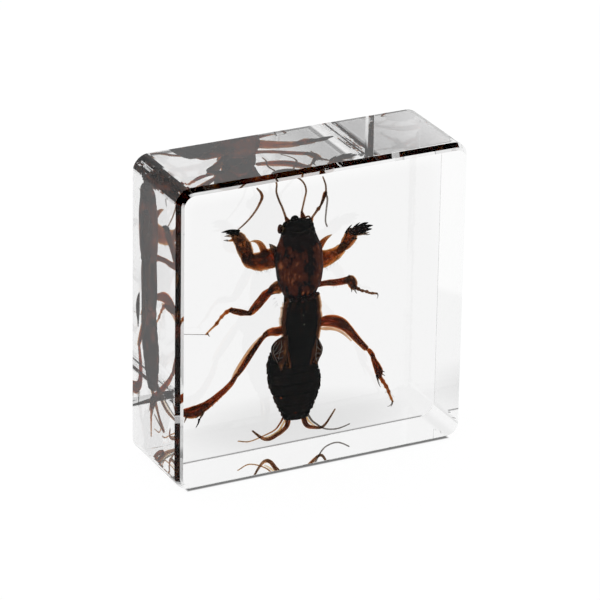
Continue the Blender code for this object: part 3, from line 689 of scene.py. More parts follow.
# knobs on top of the head: middle, half sizes and how lumpy
knobs = [
    ((-3.1, -1.1, 36.88), (0.64, 0.6, 0.6), 0.05), ((-4.45, -1.1, 36.35), (0.5, 0.5, 0.42), 0),
    ((-1.15, -1.2, 36.2), (0.6, 0.6, 0.5), 0.1), ((-0.55, -1, 35.6), (0.45, 0.5, 0.5), 0),
]
eye = ((-5.28, -0.9, 35.75), (0.42, 0.5, 0.72))
eyeRim = [
    (-5.2, -1.42, 36.3, 0.1), (-4.95, -1.55, 36.1, 0.13), (-4.98, -1.6, 35.75, 0.12),
    (-5.12, -1.5, 35.4, 0.07),
]
headSeam = [
    (-4.6, -2.78, 35.8, 0.02), (-3.83, -2.98, 35.5, 0.035), (-2.9, -3.12, 35.27, 0.045),
    (-2.2, -3.14, 35.32, 0.045), (-1.6, -3.08, 35.5, 0.035), (-1, -2.95, 35.75, 0.03),
]
curls = [
    [(-1.75, -1, 36.3, 0.14), (-1.45, -1.1, 36.85, 0.17), (-0.95, -1.1, 36.95, 0.15),
     (-0.62, -1, 36.6, 0.12)],
    [(-1.1, -1.1, 36.3, 0.12), (-0.75, -1.1, 36.65, 0.14), (-0.45, -1, 36.35, 0.12),
     (-0.35, -0.9, 35.9, 0.1)],
]
# a faint groove near each end of the shield: height, half width and depth
grooves = ((25.9, 0.18, 0.018), (34.4, 0.2, 0.012))


def shieldDents(p, angle):
    dents = 0.02 * noise.noise(Vector((p[0] * 0.7, p[1] * 0.7, p[2] * 0.5)))
    return dents - sum(deep * math.exp(-((p[2] - z) / half) ** 2) for z, half, deep in grooves)


def headScallops(p, angle):
    side = max(0.0, -math.sin(angle)) if p[2] < 36 else 1.0
    lumps = 0.035 * noise.noise(Vector(p) * 2.2)
    return lumps + 0.02 * math.sin(9 * p[2]) * abs(math.cos(angle)) ** 4 - 0.01 * side


# each ring: how much it swells and flares, how far the next one starts below it and inside it, and
# the sizes of the lobes on its edges
abdomenBuild = {"swell": 0.1, "flare": 0.04, "drop": 0.08, "inset": 0.16, "lobes": (0.12, 0.24)}


def ringedAbdomen():
    stations = []
    before = np.array(abdomenStart)
    drop, inset = abdomenBuild["drop"], abdomenBuild["inset"]
    for ring in abdomenRings:
        for k in range(6):
            t = k / 5
            bulge = abdomenBuild["swell"] * math.sin(math.pi * min(1, t * 1.1)) + abdomenBuild["flare"] * t
            stations.append(before + (np.array(ring) - before) * t + (0, 0, 0, bulge, bulge))
        before = np.array(ring) - (drop, 0, 0, inset, inset)
    return trunk(stations, 72, 1, smooth=False)


def addTrunk():
    lobes = [ball(middle, sizes, 14, 9, 0.3) for middle, sizes in rearLobes]
    shield = [trunk(pronotum, 96, 8, shieldDents)] + lobes
    insectPiece("pronotum", marked(shield, spots(shieldMarks, 0.28)), "shield")
    balls = [ball(middle, sizes, lump=lump) for middle, sizes, lump in knobs]
    skull = [trunk(head, 64, 8, headScallops)] + balls
    insectPiece("head", marked(skull, spots([], 0.42)), "black")
    insectPiece("eye_left", [ball(*eye, lump=0.08)], "darkLeg")
    insectPiece("eye_rim", [tube(eyeRim, 10)], "pale")
    insectPiece("head_seam", [tube(headSeam, 8)], "thread")
    insectPiece("mouthparts", [tube(curl, 10) for curl in curls], "shin")
    insectPiece("thorax", marked([trunk(thorax, 56, 6)], spots([], 0.42)), "black")
    insectPiece("abdomen", marked([ringedAbdomen()], spots(abdomenMarks, 0.38)), "black", 30)

    # small dark lobes on the edges of the abdomen's rings
    lobes = []
    for low, high in zip(abdomenRings[1:], abdomenRings):
        for side in (0, math.pi):
            for k in range(2):
                t = 0.3 + 0.4 * k + random.uniform(-0.1, 0.1)
                station = [h + (l - h) * t for l, h in zip(low, high)]
                p = ovalPoint(station, side)
                size = random.uniform(*abdomenBuild["lobes"])
                lobes.append(ball(p - (0.1 * math.cos(side), 0, 0), (size, 0.25, size * 1.9), 12, 8, 0.4))
    insectPiece("abdomen_edges", lobes, "darkLeg")


def bedAt(height):
    rows = sorted(wingBed)
    for low, high in zip(rows, rows[1:]):
        if low[0] <= height <= high[0]:
            t = (height - low[0]) / (high[0] - low[0])
            return [a + (b - a) * t for a, b in zip(low[1:], high[1:])]
    return list(rows[0][1:])


def ragged(z, broad, broadSeed, fineSeed):
    # how far a folded wing's edge wanders at a height
    wander = broad * noise.noise(Vector((z * 0.9, broadSeed, 0)))
    return wander + 0.12 * noise.noise(Vector((z * 3.1, fineSeed, 0)))


# the folded wings: steps across in all and at a thin edge, thickness, how much the edge thins,
# height of the ridges, and where the see-through strips start, as shares of the half width
wingBuild = {
    "steps": 72, "edgeSteps": 6, "thickness": 0.34, "edgeThinning": 0.22, "ridge": 0.05,
    "leftStrip": 0.72, "rightStrip": 0.64,
}


def foldedWingShell():
    count = wingBuild["steps"]
    rings, shape = [], []
    for z, left, right, off in catmull(foldedWings, 8):
        x, y, a, b = bedAt(z)
        left += ragged(z, 0.22, 3.0, 5.0)
        right += ragged(z, 0.20, 8.0, 1.0)
        outer, inner = [], []
        for k in range(count + 1):
            across = left + (right - left) * k / count
            share = max(-0.95, min(0.95, (across - x) / (a + off)))
            drop = (b + off) * math.sqrt(1 - share * share) - (across - x) * math.sin(roll)
            edge = max(0.0, 1 - min(k, count - k) / wingBuild["edgeSteps"])
            thick = wingBuild["thickness"] - wingBuild["edgeThinning"] * edge
            ridge = wingBuild["ridge"] * math.sin(k * 0.9) ** 2 * max(0.0, abs(share) - 0.5)
            outer.append(np.array((across, y - drop - ridge, z)))
            inner.append(np.array((across, y - drop + thick, z)))
        ring = outer + inner[::-1]
        rings.append(ring)
        shape += [(2 * (q[0] - left) / (right - left) - 1, z, k / len(ring)) for k, q in enumerate(ring)]
    return shell(rings, shape)


def wingMargin(p, s):
    # see-through strips along both edges, wider low down
    lower = 0.1 * max(0.0, min(1.0, (18.5 - p[2]) / 3))
    left, right = wingBuild["leftStrip"], wingBuild["rightStrip"]
    depth = max(0.0, (lower - s[0] - left) / (1 - left), (lower + s[0] - right) / (1 - right))
    return min(1.0, depth ** 0.8)


# each crumpled hind wing: depth, outline, marks, and veins with the thickest first, across and up
fans = {
    "left_fan": {
        "depth": -3.45,
        "outline": [
            (-4.2, 19.8), (-5.12, 19.7), (-6.04, 19.2), (-6.6, 18.5), (-6.7, 17.7), (-6.31, 16.5),
            (-5.67, 15.6), (-5.3, 14.6), (-5.05, 14.6), (-4.6, 15.8), (-4.2, 17),
        ],
        "marks": [
            (-4.7, 17.6, 0.35, 1.6, 0.38), (-5.2, 15.6, 0.2, 0.9, 0.45), (-4.5, 19.2, 0.5, 0.4, 0.35),
            (-6.2, 18.9, 0.4, 0.3, 0.3), (-5.7, 17.2, 0.4, 1.2, -0.15),
        ],
        "veins": [
            [(-5.9, 19), (-6.35, 18.3), (-6.41, 17.6), (-6.16, 16.8), (-5.76, 15.9)],
            [(-5.45, 18.85), (-5.75, 18.4), (-6.02, 17.9), (-6.3, 17.5)],
            [(-4.9, 17.55), (-5.5, 17.3), (-6.1, 17.2)], [(-5, 16.55), (-5.5, 16.5), (-6, 16.65)],
            [(-5, 18.3), (-5.6, 17.6), (-6.2, 17)], [(-5.3, 19.2), (-5.2, 18.2), (-5.5, 17), (-5.7, 16.2)],
        ],
    },
    "right_fan": {
        "depth": -2.35,
        "outline": [
            (0.3, 18.7), (0.62, 18.3), (1, 17.5), (1.2, 16.9), (1.06, 16), (0.7, 15.3), (0.4, 14.5),
            (0.05, 14.7), (-0.26, 16.2), (-0.12, 17.4),
        ],
        "marks": [(-0.05, 16.6, 0.2, 1.5, 0.35), (0.35, 14.8, 0.2, 0.5, 0.5), (0.9, 17.8, 0.2, 0.4, 0.3)],
        "veins": [
            [(0.62, 18), (0.92, 17.3), (1, 16.6), (0.8, 15.7), (0.45, 14.8)],
            [(0.2, 17.3), (0.6, 16.9), (0.95, 16.6)], [(-0.1, 16), (0.4, 16.25), (0.9, 16.1)],
            [(0, 15.3), (0.4, 15.5), (0.75, 15.6)], [(0.3, 18.2), (0.25, 17), (0.15, 15.9), (0.3, 15)],
        ],
    },
}
fanThickness = 0.22
veinRadii = {"first": 0.032, "other": 0.024}
wedge = [(0.15, 25.15), (0.85, 24.95), (0.95, 24.3), (0.8, 23.9), (0.45, 24.3)]
wedgeDepth, wedgeThickness = -0.75, 0.16
specks = [
    (-4.05, -2.6, 25), (-5, -1.9, 24.85), (-2.07, -3.05, 22.6), (-1.9, -3.02, 21.2), (-0.3, -2.9, 24.9),
]


def addWings():
    insectPiece("folded_wings", marked([foldedWingShell()], wingMargin), "wing")
    insectPiece("wing_wedge", [plate(wedge, wedgeDepth, wedgeThickness)], "pale")
    insectPiece("wing_specks", [ball(p, (0.07, 0.05, 0.07), 8, 6) for p in specks], "vein")
    for name, fan in fans.items():
        sheet = plate(fan["outline"], fan["depth"], fanThickness)
        insectPiece(name, marked([sheet], spots(fan["marks"])), "membrane")
    for name, fan in fans.items():
        lines = []
        for number, vein in enumerate(fan["veins"]):
            size = veinRadii["other" if number else "first"]
            front = fan["depth"] - 0.13
            lines.append(tube([(x, front + x * math.sin(roll), z, size) for x, z in vein], 8))
        insectPiece(name + "_veins", lines, "vein")


# limbs: look, how lumpy, and rows of across, depth, up, half width and, where another, half depth
limbs = {
    "left_fore_femur": ("brownLeg", 0.12, [
        (-4.2, 0.6, 31.2, 1.3, 1.1), (-6.2, 1.5, 30.9, 1.58, 1.1), (-7.8, 1.9, 30.7, 1.42, 0.95),
        (-9, 2.3, 31, 1.15, 0.85), (-9.5, 2.8, 31.7, 0.85, 0.75)]),
    "left_fore_tibia": ("brownLeg", 0.14, [
        (-8.9, 2.6, 31.3, 0.72, 0.6), (-9.25, 3, 32.1, 1.02, 0.75), (-9.65, 3.7, 33.15, 1.12, 0.65),
        (-10.25, 4.2, 34.1, 0.98, 0.55), (-10.9, 4.4, 34.65, 0.62, 0.45)]),
    "left_fore_flange": ("redLeg", 0.1, [
        (-10.75, 3.6, 33.3, 0.12), (-10.5, 3.4, 32.75, 0.34, 0.2), (-10.15, 3.1, 32, 0.42, 0.2),
        (-9.72, 2.7, 31.2, 0.42, 0.2), (-9.3, 2.3, 30.7, 0.3, 0.2)]),
    "left_fore_hook": ("amber", 0.05, [
        (-6.75, 1.5, 31.4, 0.66, 0.35), (-6.95, 1.8, 32.05, 0.58, 0.3), (-7.18, 2.1, 32.75, 0.5, 0.26),
        (-7.52, 2.4, 33.3, 0.38, 0.22), (-7.98, 2.8, 33.55, 0.24, 0.16), (-8.45, 3.2, 33.55, 0.12, 0.1),
        (-8.9, 3.4, 33.3, 0.06, 0.05)]),
    "right_fore_femur": ("goldLeg", 0.1, [
        (0.3, 0.3, 29.8, 1.45, 1.1), (1.9, 1, 29.5, 1.42, 1.1), (3.2, 1.6, 29.5, 1.2, 1),
        (4.4, 2.2, 29.7, 1.02, 0.9), (5.4, 2.7, 30.1, 0.85, 0.75)]),
    "right_fore_knee": ("brownLeg", 0.12, [
        (5, 2.5, 29.7, 0.45, 0.5), (5.5, 2.7, 30.2, 0.72, 0.7), (5.95, 2.9, 30.6, 0.62, 0.6)]),
    "right_fore_tibia": ("brownLeg", 0.1, [
        (5.8, 2.8, 30.3, 0.75, 0.7), (6.45, 3.1, 30.9, 1.05, 0.8), (7, 3.5, 31.5, 1.15, 0.75),
        (7.15, 3.8, 32, 0.95, 0.65), (7.2, 4, 32.4, 0.6, 0.45)]),
    "right_fore_palm": ("shield", 0.1, [
        (7.1, 3.8, 32.1, 0.42, 0.4), (8, 4, 32.05, 0.6, 0.5), (8.9, 4, 32.1, 0.66, 0.48),
        (9.5, 3.9, 32.15, 0.5, 0.4)]),
    "left_mid_coxa": ("brownLeg", 0.15, [
        (-4.1, 0.3, 26.6, 0.75, 0.7), (-4.9, 0.6, 26.6, 0.98, 0.8), (-5.6, 1, 26.3, 0.82, 0.7),
        (-6.1, 1.4, 25.9, 0.55, 0.5)]),
    "left_mid_femur": ("leg", 0.1, [
        (-5.85, 1.4, 26.05, 0.5, 0.45), (-6.2, 1.7, 25.75, 0.66, 0.6), (-6.79, 2, 25.15, 0.76, 0.62),
        (-7.55, 2.4, 24.1, 0.74, 0.6), (-8.2, 2.8, 23.25, 0.64, 0.52), (-8.75, 3, 22.75, 0.46, 0.42)]),
    "left_mid_tibia": ("shin", 0.08, [
        (-8.6, 3, 22.72, 0.36, 0.34), (-9.1, 3.1, 22.8, 0.4, 0.36), (-9.9, 3.4, 22.98, 0.5, 0.42),
        (-10.7, 3.9, 23.2, 0.48, 0.4), (-11.3, 4.3, 23.4, 0.36, 0.32)]),
    "right_mid_femur": ("leg", 0.1, [
        (-0.4, 0.3, 26, 0.55), (1, 0.6, 25.9, 0.45, 0.5), (2.7, 1.2, 25.72, 0.44, 0.5),
        (4.2, 1.9, 25.35, 0.52), (5.8, 2.7, 25.1, 0.56, 0.52), (6.9, 3.2, 25, 0.56, 0.5)]),
    "right_mid_knee": ("brownLeg", 0.12, [
        (6.7, 3.2, 25.2, 0.45, 0.4), (7.2, 3.6, 24.85, 0.7, 0.6), (7.65, 3.9, 24.2, 0.78, 0.65),
        (7.85, 4.2, 23.7, 0.68, 0.6), (8, 4.5, 23.3, 0.4)]),
    "left_hind_coxa": ("leg", 0.1, [
        (-3.8, 0.6, 20, 0.62, 0.6), (-4.85, 0.9, 19.75, 0.7, 0.6), (-5.9, 1.3, 19.75, 0.62, 0.55),
        (-6.8, 1.6, 19.35, 0.42)]),
    "left_hind_femur": ("leg", 0.08, [
        (-6.42, 1.6, 19.55, 0.38, 0.4), (-7.2, 1.8, 18.7, 0.36, 0.42), (-8.03, 1.9, 17.65, 0.4, 0.46),
        (-8.92, 2, 16.45, 0.46, 0.5), (-9.82, 2, 15.2, 0.46, 0.48), (-10.5, 2, 14.3, 0.4),
        (-10.9, 2, 13.85, 0.32)]),
    "left_hind_blade": ("honey", 0.05, [
        (-6.9, 1.7, 19.5, 0.08, 0.06), (-7.68, 1.8, 18.8, 0.22, 0.12), (-8.77, 1.9, 17.53, 0.36, 0.16),
        (-9.89, 1.9, 16.03, 0.42, 0.18), (-10.84, 1.9, 14.78, 0.34, 0.15), (-11.45, 1.9, 14, 0.18, 0.1),
        (-11.74, 1.9, 13.6, 0.05, 0.04)]),
    "left_hind_tibia": ("shin", 0.06, [
        (-10.95, 2, 13.9, 0.34), (-11.6, 2.8, 12.5, 0.44, 0.42), (-12.7, 3.8, 11.1, 0.52, 0.48),
        (-14, 4.6, 9.85, 0.62, 0.55), (-15.4, 5, 9, 0.78, 0.6), (-17.1, 4.7, 8.8, 0.84, 0.55),
        (-18.7, 3.9, 9.2, 0.55, 0.42)]),
    "left_hind_band": ("amber", 0.05, [
        (-18.5, 4.4, 8.5, 0.12), (-17.9, 4.6, 8.25, 0.26, 0.2), (-16.9, 4.8, 8, 0.34, 0.22),
        (-15.8, 4.9, 8.05, 0.24, 0.2), (-14.9, 4.6, 8.7, 0.08)]),
    "right_hind_femur": ("redLeg", 0.06, [
        (0.3, 0.4, 19.9, 0.5), (1.7, 0.7, 19.95, 0.66, 0.6), (2.66, 1, 19.95, 0.85, 0.7),
        (3.89, 1.3, 19.65, 0.93, 0.72), (5.09, 1.6, 19.05, 0.9, 0.7), (6.3, 2, 18, 0.74, 0.62),
        (7.56, 2.4, 16.5, 0.6, 0.54), (8.8, 2.7, 15, 0.5, 0.48), (9.75, 2.9, 13.95, 0.46, 0.42)]),
    "left_hind_core": ("core", 0.1, [
        (-6.5, 1.7, 19.4, 0.16), (-7.2, 1.85, 18.6, 0.22, 0.26), (-8, 1.95, 17.55, 0.24, 0.3),
        (-8.9, 2.05, 16.3, 0.28, 0.34), (-9.75, 2.05, 15.1, 0.28, 0.3), (-10.4, 2.05, 14.25, 0.22, 0.24)]),
    "right_hind_core": ("core", 0.1, [
        (3, 1.2, 20.1, 0.1), (4.2, 1.5, 19.9, 0.24, 0.26), (5.4, 1.8, 19.2, 0.34, 0.3),
        (6.6, 2.2, 18, 0.36, 0.3), (7.8, 2.6, 16.5, 0.3, 0.28), (9, 2.9, 15, 0.26, 0.24),
        (9.8, 3, 14, 0.26, 0.24)]),
    "right_hind_blade": ("honey", 0.05, [
        (1.75, 0.9, 18.95, 0.08, 0.06), (2.1, 1, 18.88, 0.22, 0.12), (2.75, 1.1, 18.72, 0.28, 0.15),
        (3.6, 1.3, 18.5, 0.24, 0.14), (4.8, 1.6, 17.95, 0.2, 0.12), (6, 2, 17, 0.17, 0.1),
        (7.2, 2.4, 15.7, 0.12, 0.08)]),
    "right_hind_joint": ("amber", 0.05, [
        (9.9, 2.9, 13.75, 0.22, 0.25), (10.25, 2.9, 13.5, 0.34, 0.32), (10.8, 3, 12.7, 0.38, 0.35),
        (11, 3, 12.2, 0.3)]),
    "right_hind_tibia": ("shin", 0.08, [
        (10.75, 3, 12.75, 0.3), (11.1, 3.1, 11.85, 0.42), (11.6, 3.2, 10.8, 0.56, 0.5),
        (11.95, 3.2, 9.9, 0.64, 0.55), (12.1, 3.3, 9.25, 0.5, 0.42), (12.08, 3.3, 8.85, 0.28)]),
}

# strands: look, knobs as place along, swelling and reach, and rows of across, depth, up and radius
strands = {
    "left_mid_tarsus": ("amber", ((0.9, 0.3, 0.2), (1.9, 0.5, 0.2), (3, 0.35, 0.2)), [
        (-11.1, 4.3, 23.5, 0.34), (-11.97, 4.6, 23.05, 0.28), (-12.74, 4.8, 22.3, 0.2),
        (-13.29, 5, 21.5, 0.24), (-13.71, 5.1, 21.1, 0.18), (-14.3, 5.2, 20.6, 0.16),
        (-14.78, 5.3, 20.1, 0.17)]),
    "left_mid_thread": ("thread", (), [
        (-14.76, 5.35, 20.05, 0.06), (-16.38, 5.4, 20.35, 0.05), (-18.6, 5.4, 20.8, 0.05)]),
    "right_mid_tarsus": ("feeler", ((1.1, 0.35, 0.2), (2, 0.6, 0.2), (2.8, 0.7, 0.2), (3.9, 0.3, 0.2)), [
        (8.1, 4.4, 23.4, 0.34), (8.55, 4.7, 23.1, 0.26), (9.47, 5.1, 22.45, 0.17),
        (10.33, 5.3, 22.1, 0.16), (10.89, 5.4, 21.75, 0.18), (12.12, 5.6, 21.4, 0.16)]),
    "left_hind_tarsus": ("amber", ((1.3, 0.3, 0.3), (2.6, 0.3, 0.3)), [
        (-18.6, 3.9, 9.3, 0.34), (-19.1, 3.6, 8.4, 0.28), (-19.4, 3.4, 6.6, 0.22),
        (-19.5, 3.3, 4.2, 0.17)]),
    "right_hind_tarsus": ("amber", ((1.2, 0.3, 0.2), (2.3, 0.45, 0.2), (3.4, 0.4, 0.2), (4.6, 0.3, 0.2)), [
        (12.1, 3.3, 9.1, 0.34), (12.76, 3.4, 8.05, 0.27), (13.53, 3.6, 6.8, 0.24),
        (13.99, 3.7, 5.65, 0.2), (14.55, 3.8, 4.4, 0.16)]),
    "left_antenna_base": ("shin", ((0.35, 0.2, 0.2),), [
        (-4.05, -0.9, 36.5, 0.34), (-4.25, -0.9, 36.95, 0.3), (-4.45, -0.9, 37.35, 0.22)]),
    "left_antenna": ("feeler", (), [
        (-4.42, -0.9, 37.3, 0.19), (-4.98, -0.8, 38.9, 0.165), (-5.49, -0.7, 40.09, 0.155),
        (-5.8, -0.4, 41.3, 0.15), (-5.6, 0.2, 42.3, 0.14), (-5.7, 1.2, 42.9, 0.13)]),
    "right_antenna_base": ("shin", ((0.5, 0.2, 0.2),), [
        (-1.65, -1, 36.6, 0.36), (-1.85, -1, 37.15, 0.33), (-2, -1, 37.75, 0.22)]),
    "right_antenna": ("feeler", (), [
        (-2.02, -1, 37.7, 0.19), (-1.85, -0.9, 38.39, 0.16), (-1.49, -0.7, 39.66, 0.155),
        (-1.23, -0.5, 40.7, 0.15), (-1.45, -0.2, 41.7, 0.14), (-2, 0.4, 42.4, 0.13),
        (-2.8, 1.3, 42.8, 0.12)]),
    # tan lines along the fore legs' ridges, on their front sides: partly real ridges, partly painted
    # highlights
    "left_fore_ridge_highlight_1": ("amber", (), [
        (-10.6, 3.5, 34.45, 0.05), (-10.2, 3.15, 34, 0.09), (-9.95, 2.95, 33.5, 0.07),
        (-9.8, 2.9, 33.1, 0.04)]),
    "left_fore_ridge_highlight_2": ("amber", (), [
        (-9.7, 2.55, 32.7, 0.05), (-9.3, 2.25, 32.2, 0.1), (-8.85, 1.9, 31.8, 0.08),
        (-8.4, 1.5, 31.6, 0.04)]),
    "right_fore_ridge_highlight": ("amber", (), [
        (6.2, 2.3, 30.7, 0.04), (6.5, 2.3, 31.2, 0.08), (6.7, 2.5, 31.7, 0.09), (7.2, 2.85, 31.95, 0.05)]),
    "right_mid_streak": ("honey", (), [
        (0.9, 0.1, 25.95, 0.08), (2.2, 0.5, 25.8, 0.14), (3.4, 1, 25.55, 0.12), (4.6, 1.6, 25.25, 0.05)]),
    "palp_base": ("amber", (), [(-0.45, -0.9, 35.7, 0.22), (-0.36, -0.8, 36.5, 0.26)]),
    "palp_middle": ("feeler", ((0, 0.3, 0.3), (1.5, 0.5, 0.2)), [
        (-0.33, -0.8, 36.6, 0.15), (0.15, -0.7, 37.11, 0.19), (0.64, -0.6, 37.64, 0.21),
        (0.97, -0.5, 37.95, 0.22)]),
    "palp_tip": ("shin", (), [
        (0.95, -0.5, 37.9, 0.14), (1.27, -0.4, 38.42, 0.22), (1.62, -0.2, 39.15, 0.28),
        (1.9, 0, 39.7, 0.34), (2, 0.05, 39.95, 0.2)]),
    "trailing_feeler": ("thread", (), [
        (2, 0.1, 39.6, 0.16), (2.42, 0.6, 38.6, 0.15), (2.46, 1.2, 36.8, 0.14), (2.46, 1.5, 35.1, 0.13),
        (2.74, 1.5, 34.2, 0.12)]),
    "raised_feeler": ("feeler", (), [
        (2.05, 0.1, 39.6, 0.16), (2.14, 0.6, 40.59, 0.14), (2.04, 1, 41.26, 0.13),
        (1.84, 1.3, 41.9, 0.11)]),
    "claw_strand": ("feeler", (), [
        (-10.9, 4.5, 34.9, 0.08), (-9.7, 4.2, 35.8, 0.12), (-8.7, 4, 36.7, 0.15), (-7.8, 3.8, 37.8, 0.17),
        (-7.2, 3.6, 38.9, 0.2), (-6.9, 3.4, 39.8, 0.24), (-7.15, 3.2, 40.6, 0.2), (-7.8, 3.1, 41.4, 0.12)]),
    "left_cercus": ("tail", (), [
        (-3.1, 0.9, 6.6, 0.45), (-2.85, 2, 4.7, 0.42), (-3.3, 3.2, 3.45, 0.34), (-3.95, 4.4, 2.6, 0.34),
        (-4.4, 5.8, 1.85, 0.32), (-5.1, 6.4, 1.75, 0.3), (-6.1, 6.1, 2.45, 0.22), (-7.5, 5, 3.85, 0.14)]),
    "left_tail_strip": ("pale", (), [
        (-3.45, 1, 5.9, 0.14), (-3.66, 2, 4.75, 0.17), (-3.85, 3.2, 3.6, 0.17), (-4.5, 4.6, 2.7, 0.15),
        (-5.3, 5.8, 2.15, 0.1)]),
    "left_style": ("amber", (), [
        (-3.6, 0.9, 6.6, 0.22), (-3.95, 2.6, 4.75, 0.15), (-4.3, 4.1, 3.55, 0.13),
        (-5.3, 5.8, 2.55, 0.12), (-7.5, 6.6, 1.8, 0.11), (-9.4, 6.3, 2.3, 0.1)]),
    "right_cercus": ("tail", (), [
        (-0.8, 0.9, 6.6, 0.45), (0, 2.4, 4.5, 0.4), (0.9, 3.6, 3.3, 0.34), (2.4, 4.8, 2.5, 0.26),
        (3.5, 5.2, 2.2, 0.23), (4, 4.6, 2.8, 0.2), (4.3, 3.4, 4, 0.17), (4.7, 2, 5.6, 0.13)]),
    "right_tail_strip": ("pale", (), [
        (-0.15, 1.2, 6.1, 0.1), (0.5, 2.6, 4.75, 0.14), (1.3, 3.6, 3.75, 0.13), (2.3, 4.6, 2.8, 0.08)]),
    "right_style": ("thread", (), [
        (-0.4, 0.9, 6.8, 0.2), (1.3, 3.2, 4.3, 0.16), (2.7, 5, 2.9, 0.14), (4.1, 6.3, 1.7, 0.13),
        (5.3, 6.6, 1.2, 0.12), (6.5, 6.5, 1.1, 0.12), (7.4, 6, 1.4, 0.11), (8.1, 5.4, 1.8, 0.1)]),
}

# claws, thorns and spines: look, base, tip, base radius, bend and flatness
spikes = [
    ("claw", (-10.2, 4.2, 34.85), (-12.75, 4.6, 35.3), 0.46, (0, 0, 0.22)),
    ("claw", (-10.9, 4.4, 34.85), (-12.1, 4.5, 35), 0.34, (0, 0, 0.1)),
    ("brownLeg", (-10.8, 4.3, 34.45), (-12.35, 4.4, 34.7), 0.3, (0, 0, 0.08)),
    ("amber", (-10.9, 4.2, 34.05), (-12, 4.2, 34), 0.3, (0, 0, -0.05)),
    ("thread", (-11.8, 4.3, 34), (-12.5, 4.3, 34.15), 0.14),
    ("brownLeg", (-10.3, 3.7, 33.4), (-10.95, 3.8, 33.5), 0.22),
    ("brownLeg", (-4.95, -0.4, 31.2), (-6.6, 0.3, 33.5), 0.92, (-0.12, 0, 0.25), 0.7),
    ("amber", (0.75, -0.7, 31.75), (3.27, 0.4, 33.2), 0.68, (-0.1, 0, 0.25), 0.6),
    ("claw", (6.45, 3.9, 32), (7.45, 4.2, 33.1), 0.24, (-0.08, 0, 0.08)),
    ("claw", (7.6, 4.1, 32.3), (8.75, 4.3, 33.2), 0.28, (-0.08, 0, 0.06)),
    ("claw", (8.4, 4.1, 32.35), (10.05, 4.2, 32.95), 0.46, (0, 0, 0.18)),
    ("claw", (8.7, 3.9, 32.2), (10.7, 3.9, 32.5), 0.48, (0, 0, 0.14)),
    ("claw", (8.8, 3.8, 31.95), (10.55, 3.8, 32), 0.42, (0, 0, 0.06)),
    ("brownLeg", (8.2, 3.7, 31.7), (10.1, 3.6, 31.65), 0.3, (0, 0, -0.12)),
    ("thread", (9.2, 3.6, 31.5), (10.2, 3.6, 31.3), 0.12, (0.1, 0, -0.08)),
    ("brownLeg", (7.3, 3.3, 31.2), (8.15, 3.5, 31), 0.32),
    ("brownLeg", (-15.3, 4.9, 8.5), (-15.95, 5.3, 7), 0.3, (0.15, 0, 0)),
    ("claw", (-15.8, 5.2, 7.3), (-16.3, 5.4, 5.95), 0.16, (0.12, 0, 0)),
    ("brownLeg", (-15.7, 5, 8.1), (-16.4, 5.1, 7.5), 0.18),
    ("redLeg", (-17.8, 4.4, 8.8), (-18.2, 5, 7.2), 0.26),
    ("redLeg", (-14.5, 4.8, 9.3), (-14.55, 5, 8.5), 0.14),
    ("redLeg", (-13.9, 4.6, 9.7), (-13.85, 4.8, 8.95), 0.12),
    ("redLeg", (-13.3, 4.3, 10.2), (-13.15, 4.5, 9.55), 0.12),
    ("claw", (11.75, 3.4, 9.3), (12, 3.6, 8.4), 0.2, (-0.06, 0, 0)),
    ("thread", (11.9, 3.5, 8.7), (12.5, 3.8, 7.1), 0.14, (-0.08, 0, 0)),
    ("brownLeg", (12.2, 3.2, 10), (12.9, 3, 9.6), 0.14),
    ("brownLeg", (12.2, 3.2, 9.6), (12.95, 3, 9), 0.14),
    ("brownLeg", (7.65, 4.3, 23.6), (7.75, 4.6, 22.6), 0.15),
    ("thread", (8, 4.5, 23.3), (8.6, 4.7, 22.2), 0.16),
    ("brownLeg", (6.75, 3.3, 25.3), (6.95, 3.4, 25.75), 0.25),
    ("thread", (12.1, 5.6, 21.4), (12.15, 5.8, 20.5), 0.1, (0.18, 0, 0.05)),
    ("thread", (14.5, 3.8, 4.5), (13.7, 3.9, 3.8), 0.12, (0.15, 0, -0.2)),
    ("thread", (14.5, 3.8, 4.5), (14.3, 4, 3.6), 0.1, (0.1, 0, 0)),
    ("brownLeg", (-14.6, 5.3, 20.2), (-14.2, 5.4, 19.6), 0.12),
]

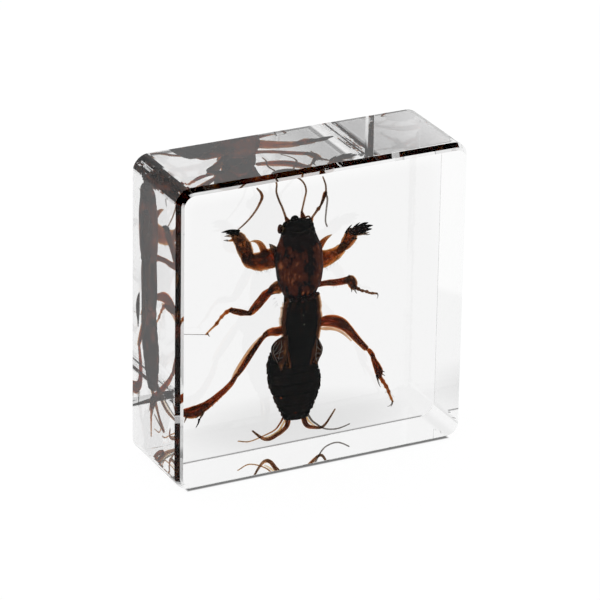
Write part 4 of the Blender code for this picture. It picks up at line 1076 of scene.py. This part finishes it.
# rows of fine hairs: from, to, how they point, length and number
hairRows = [
    ((-8.2, 1.9, 29.4), (-6, 1.4, 29.4), (0.25, 0, -1), 0.9, 12),
    ((2.2, 1.1, 28.2), (4.9, 2.4, 29.1), (0.45, 0, -1), 0.9, 14),
    ((5.5, 2.7, 29.6), (7.6, 3.3, 30.6), (0.9, 0, -0.5), 0.8, 8),
    ((-10.2, 3.4, 34.8), (-8.6, 2.4, 32.6), (0.7, 0, 0.7), 0.5, 10),
    ((-15, 4.9, 8.6), (-12.6, 4, 10.6), (0.35, 0, -0.9), 0.55, 16),
    ((-18.5, 4.4, 8.2), (-16, 5, 7.8), (0.05, 0, -1), 0.5, 10),
    ((11, 3.1, 12.4), (12.3, 3.3, 9.6), (0.9, 0, -0.3), 0.5, 14),
    ((12.5, 3.4, 8.4), (14.3, 3.8, 5), (-0.8, 0, -0.7), 0.5, 18),
    ((12.8, 3.5, 8.3), (14.6, 3.8, 5.2), (0.8, 0, -0.6), 0.4, 14),
    ((8.6, 4.8, 22.9), (12, 5.6, 21.3), (0.3, 0, -1), 0.4, 16),
    ((-14.7, 5.3, 20.3), (-12, 4.6, 22.9), (0.7, 0, -0.6), 0.4, 12),
    ((-5.5, 0.9, 25.3), (-4.9, 0.7, 23.8), (-0.7, 0, -0.7), 0.7, 5),
    ((-6.9, 2, 24.3), (-8.2, 2.7, 22.6), (0.7, 0, -0.6), 0.3, 8),
    ((3.6, 1.4, 25), (6.4, 3, 24.5), (0.1, 0, -1), 0.35, 10),
]


# how finely limbs and strands are drawn, and what gives each one noise of its own
limbBuild = {"sides": 22, "steps": 6}
strandBuild = {"sides": 14, "steps": 8, "lump": 0.06}
limbSeed, strandSeed = 3.7, 2.3


def addLimbs():
    for number, (name, (look, lump, rows)) in enumerate(limbs.items()):
        insectPiece(name, [tube(rows, lump=lump, seed=limbSeed * number, **limbBuild)], look)
    for number, (name, (look, joints, rows)) in enumerate(strands.items()):
        seed = strandSeed * number
        insectPiece(name, [tube(rows, joints=joints, seed=seed, **strandBuild)], look)
    for number, (look, *sizes) in enumerate(spikes):
        insectPiece(f"spike_{number}", [horn(*sizes)], look)
    hairs = []
    for start, end, way, length, count in hairRows:
        for k in range(count):
            base = Vector(start).lerp(Vector(end), (k + random.uniform(0.1, 0.9)) / count)
            turn = Vector([random.uniform(-0.35, 0.35) for axis in range(3)])
            way = Vector(way).normalized()
            tip = base + (way + turn).normalized() * length * random.uniform(0.6, 1.1)
            hairs.append(hair(base, tip, turn * 0.15))
    insectPiece("leg_hairs", hairs, "thread")


print("camera, floor and light")
addCamera()
addSurroundings()
addFloor()
print("clear block")
addBlock()
print("insect")
addTrunk()
addWings()
addLimbs()

scene = bpy.context.scene
bounces = 24  # the light crosses the block many times
skinLayers = 32  # and many layers of see-through skin
scene.cycles.max_bounces = bounces
scene.cycles.transmission_bounces = bounces
scene.cycles.glossy_bounces = bounces
scene.cycles.transparent_max_bounces = skinLayers
scene.cycles.use_denoising = True
scene.view_settings.view_transform = "Standard"
scene.view_settings.use_curve_mapping = True
scene.view_settings.curve_mapping.black_level = [studio["blackLevel"]] * 3
